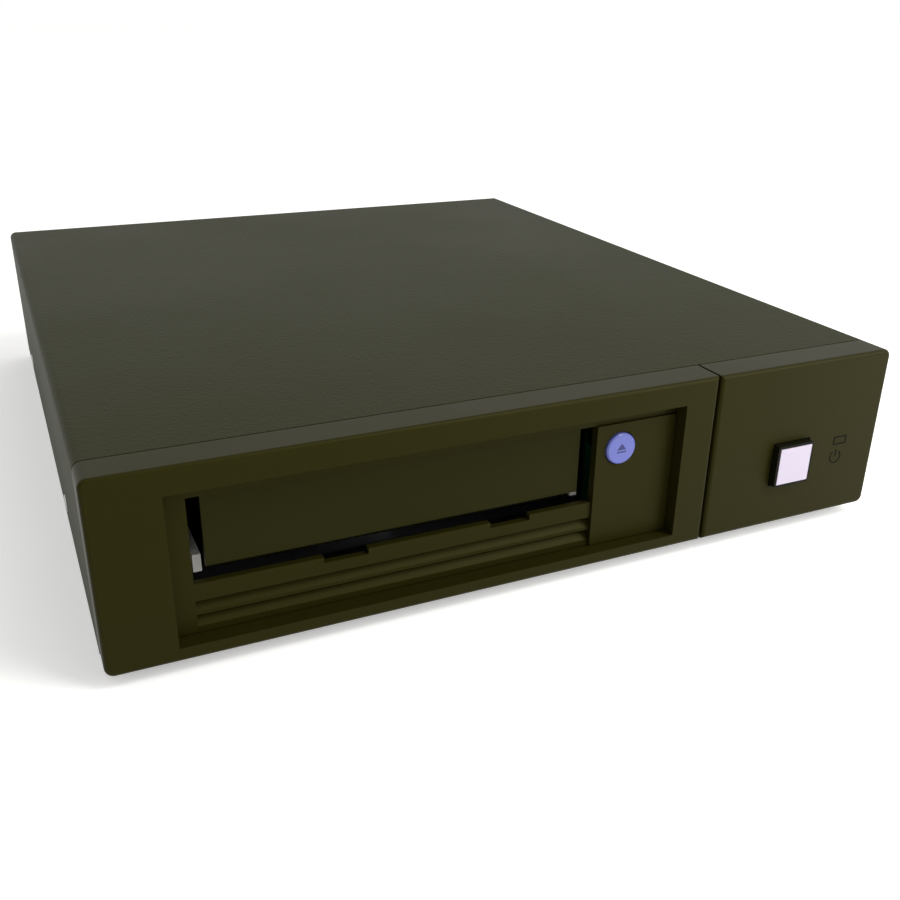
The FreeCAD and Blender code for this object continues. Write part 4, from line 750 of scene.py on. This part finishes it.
class TAPEDRIVE_OT_finishes(bpy.types.Operator):
    """Give every carried-over part of the drive its finish"""

    bl_idname = "tape_drive.finishes"
    bl_label = "Part finishes"

    def execute(self, context):
        MATERIALS.update(make_materials())
        slots = {row["node"]: row["material_slot"] for row in frame["record"]["subparts"]}
        for name, part in frame["nodes"].items():
            finish = "door_plastic" if name == "cartridge_door" else slots[name]
            part.data.materials.clear()
            part.data.materials.append(MATERIALS[finish])
        return {"FINISHED"}


class TAPEDRIVE_OT_unload_sign(bpy.types.Operator):
    """Print the triangle and bar on the unload button"""

    bl_idname = "tape_drive.unload_sign"
    bl_label = "Unload sign"

    def execute(self, context):
        sizes = settings().sizes
        wide = sizes.unload_wide
        low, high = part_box("unload_button")
        centre = (low + high) / 2
        bm = bmesh.new()
        radius = wide / math.sqrt(3)
        made = bmesh.ops.create_circle(bm, cap_ends=True, segments=3, radius=radius)
        corners = made["verts"]
        top = max(corners, key=lambda vert: vert.co.y).co
        upright = math.radians(90) - math.atan2(top.y, top.x)
        turn = Matrix.Rotation(upright, 3, "Z")
        bmesh.ops.rotate(bm, cent=(0, 0, 0), matrix=turn, verts=corners)
        bmesh.ops.scale(bm, vec=(1, TRIANGLE_SQUASH, 1), verts=corners)
        bmesh.ops.translate(bm, vec=(0, wide * TRIANGLE_RISE, 0), verts=corners)
        flat_bar(bm, 0, -wide * BAR_DROP, wide, sizes.sign_line)
        thicken(bm, list(bm.faces), sizes.ink_thick)
        stand_up(bm, centre.x, low.y, centre.z)
        finish_piece(bm, "unload_sign", "unload_ink", "unload_button")
        return {"FINISHED"}


class TAPEDRIVE_OT_power_signs(bpy.types.Operator):
    """Print the hollow rectangle and the power sign beside the power button"""

    bl_idname = "tape_drive.power_signs"
    bl_label = "Power signs"

    def execute(self, context):
        sizes = settings().sizes
        line = sizes.sign_line
        face_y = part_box("front_bezel_right")[0].y

        bm = bmesh.new()
        plate = flat_bar(bm, 0, 0, sizes.window_wide, sizes.window_tall)
        bmesh.ops.inset_region(
            bm, faces=plate, thickness=line, use_boundary=True, use_even_offset=True
        )
        bmesh.ops.delete(bm, geom=plate, context="FACES")
        thicken(bm, list(bm.faces), sizes.ink_thick)
        stand_up(bm, sizes.window_x, face_y, sizes.window_z)
        finish_piece(bm, "window_sign", "ink", "enclosure")

        bm = bmesh.new()
        radius = sizes.power_wide / 2
        ends = [bm.verts.new((0, radius - line, 0)), bm.verts.new((0, radius, 0))]
        edge = bm.edges.new(ends)
        start = Matrix.Rotation(math.radians(-RING_GAP), 3, "Z")
        bmesh.ops.rotate(bm, cent=(0, 0, 0), matrix=start, verts=ends)
        bmesh.ops.spin(
            bm,
            geom=[edge],
            cent=(0, 0, 0),
            axis=(0, 0, 1),
            angle=math.radians(RING_GAP * 2 - 360),
            steps=RING_STEPS,
            use_merge=False,
        )
        bar = radius * RING_BAR
        flat_bar(bm, 0, bar / 2, line, bar)
        thicken(bm, list(bm.faces), sizes.ink_thick)
        stand_up(bm, sizes.power_x, face_y, sizes.power_z)
        finish_piece(bm, "power_sign", "ink", "enclosure")
        return {"FINISHED"}


class TAPEDRIVE_OT_cover_screw_caps(bpy.types.Operator):
    """Put the rounded, cross-cut caps on the cover's side screws"""

    bl_idname = "tape_drive.cover_screw_caps"
    bl_label = "Cover screw caps"

    def execute(self, context):
        low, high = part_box("cover_screws")
        radius = (high.z - low.z) / 2
        level = (high.z + low.z) / 2
        cap = bmesh.new()
        cross_cap(cap, radius, settings().sizes)
        mesh = bpy.data.meshes.new("cover_screw_cap")
        cap.to_mesh(mesh)
        cap.free()
        bm = bmesh.new()
        for side, x in ((-1, low.x), (1, high.x)):
            outwards = Matrix.Rotation(math.radians(90 * side), 4, "Y")
            for y in (low.y + radius, high.y - radius):
                count = len(bm.verts)
                bm.from_mesh(mesh)
                bm.verts.ensure_lookup_table()
                turn = Matrix.Translation((x, y, level)) @ outwards
                bmesh.ops.transform(bm, matrix=turn, verts=bm.verts[count:])
        bpy.data.meshes.remove(mesh)
        finish_piece(bm, "cover_screw_caps", "bright_steel", "enclosure")
        return {"FINISHED"}


class TAPEDRIVE_PT_panel(bpy.types.Panel):
    """Lists the drive's operators"""

    bl_label = "Tape drive"
    bl_idname = "TAPEDRIVE_PT_panel"
    bl_space_type = "VIEW_3D"
    bl_region_type = "UI"
    bl_category = "Tape drive"

    def draw(self, context):
        for operator in OPERATORS:
            self.layout.operator(operator.bl_idname)


GROUPS = (TapeDriveFinishes, TapeDriveSizes, TapeDriveStudio, TapeDriveSettings)
OPERATORS = (
    TAPEDRIVE_OT_studio,
    TAPEDRIVE_OT_finishes,
    TAPEDRIVE_OT_unload_sign,
    TAPEDRIVE_OT_power_signs,
    TAPEDRIVE_OT_cover_screw_caps,
)
CLASSES = (*GROUPS, *OPERATORS, TAPEDRIVE_PT_panel)


def register():
    for cls in CLASSES:
        bpy.utils.register_class(cls)
    bpy.types.Scene.tape_drive = bpy.props.PointerProperty(type=TapeDriveSettings)


def unregister():
    del bpy.types.Scene.tape_drive
    for cls in reversed(CLASSES):
        bpy.utils.unregister_class(cls)


def main():
    register()
    bpy.ops.tape_drive.studio()
    bpy.ops.tape_drive.finishes()
    bpy.ops.tape_drive.unload_sign()
    bpy.ops.tape_drive.power_signs()
    bpy.ops.tape_drive.cover_screw_caps()


if __name__ == "__main__":
    main()
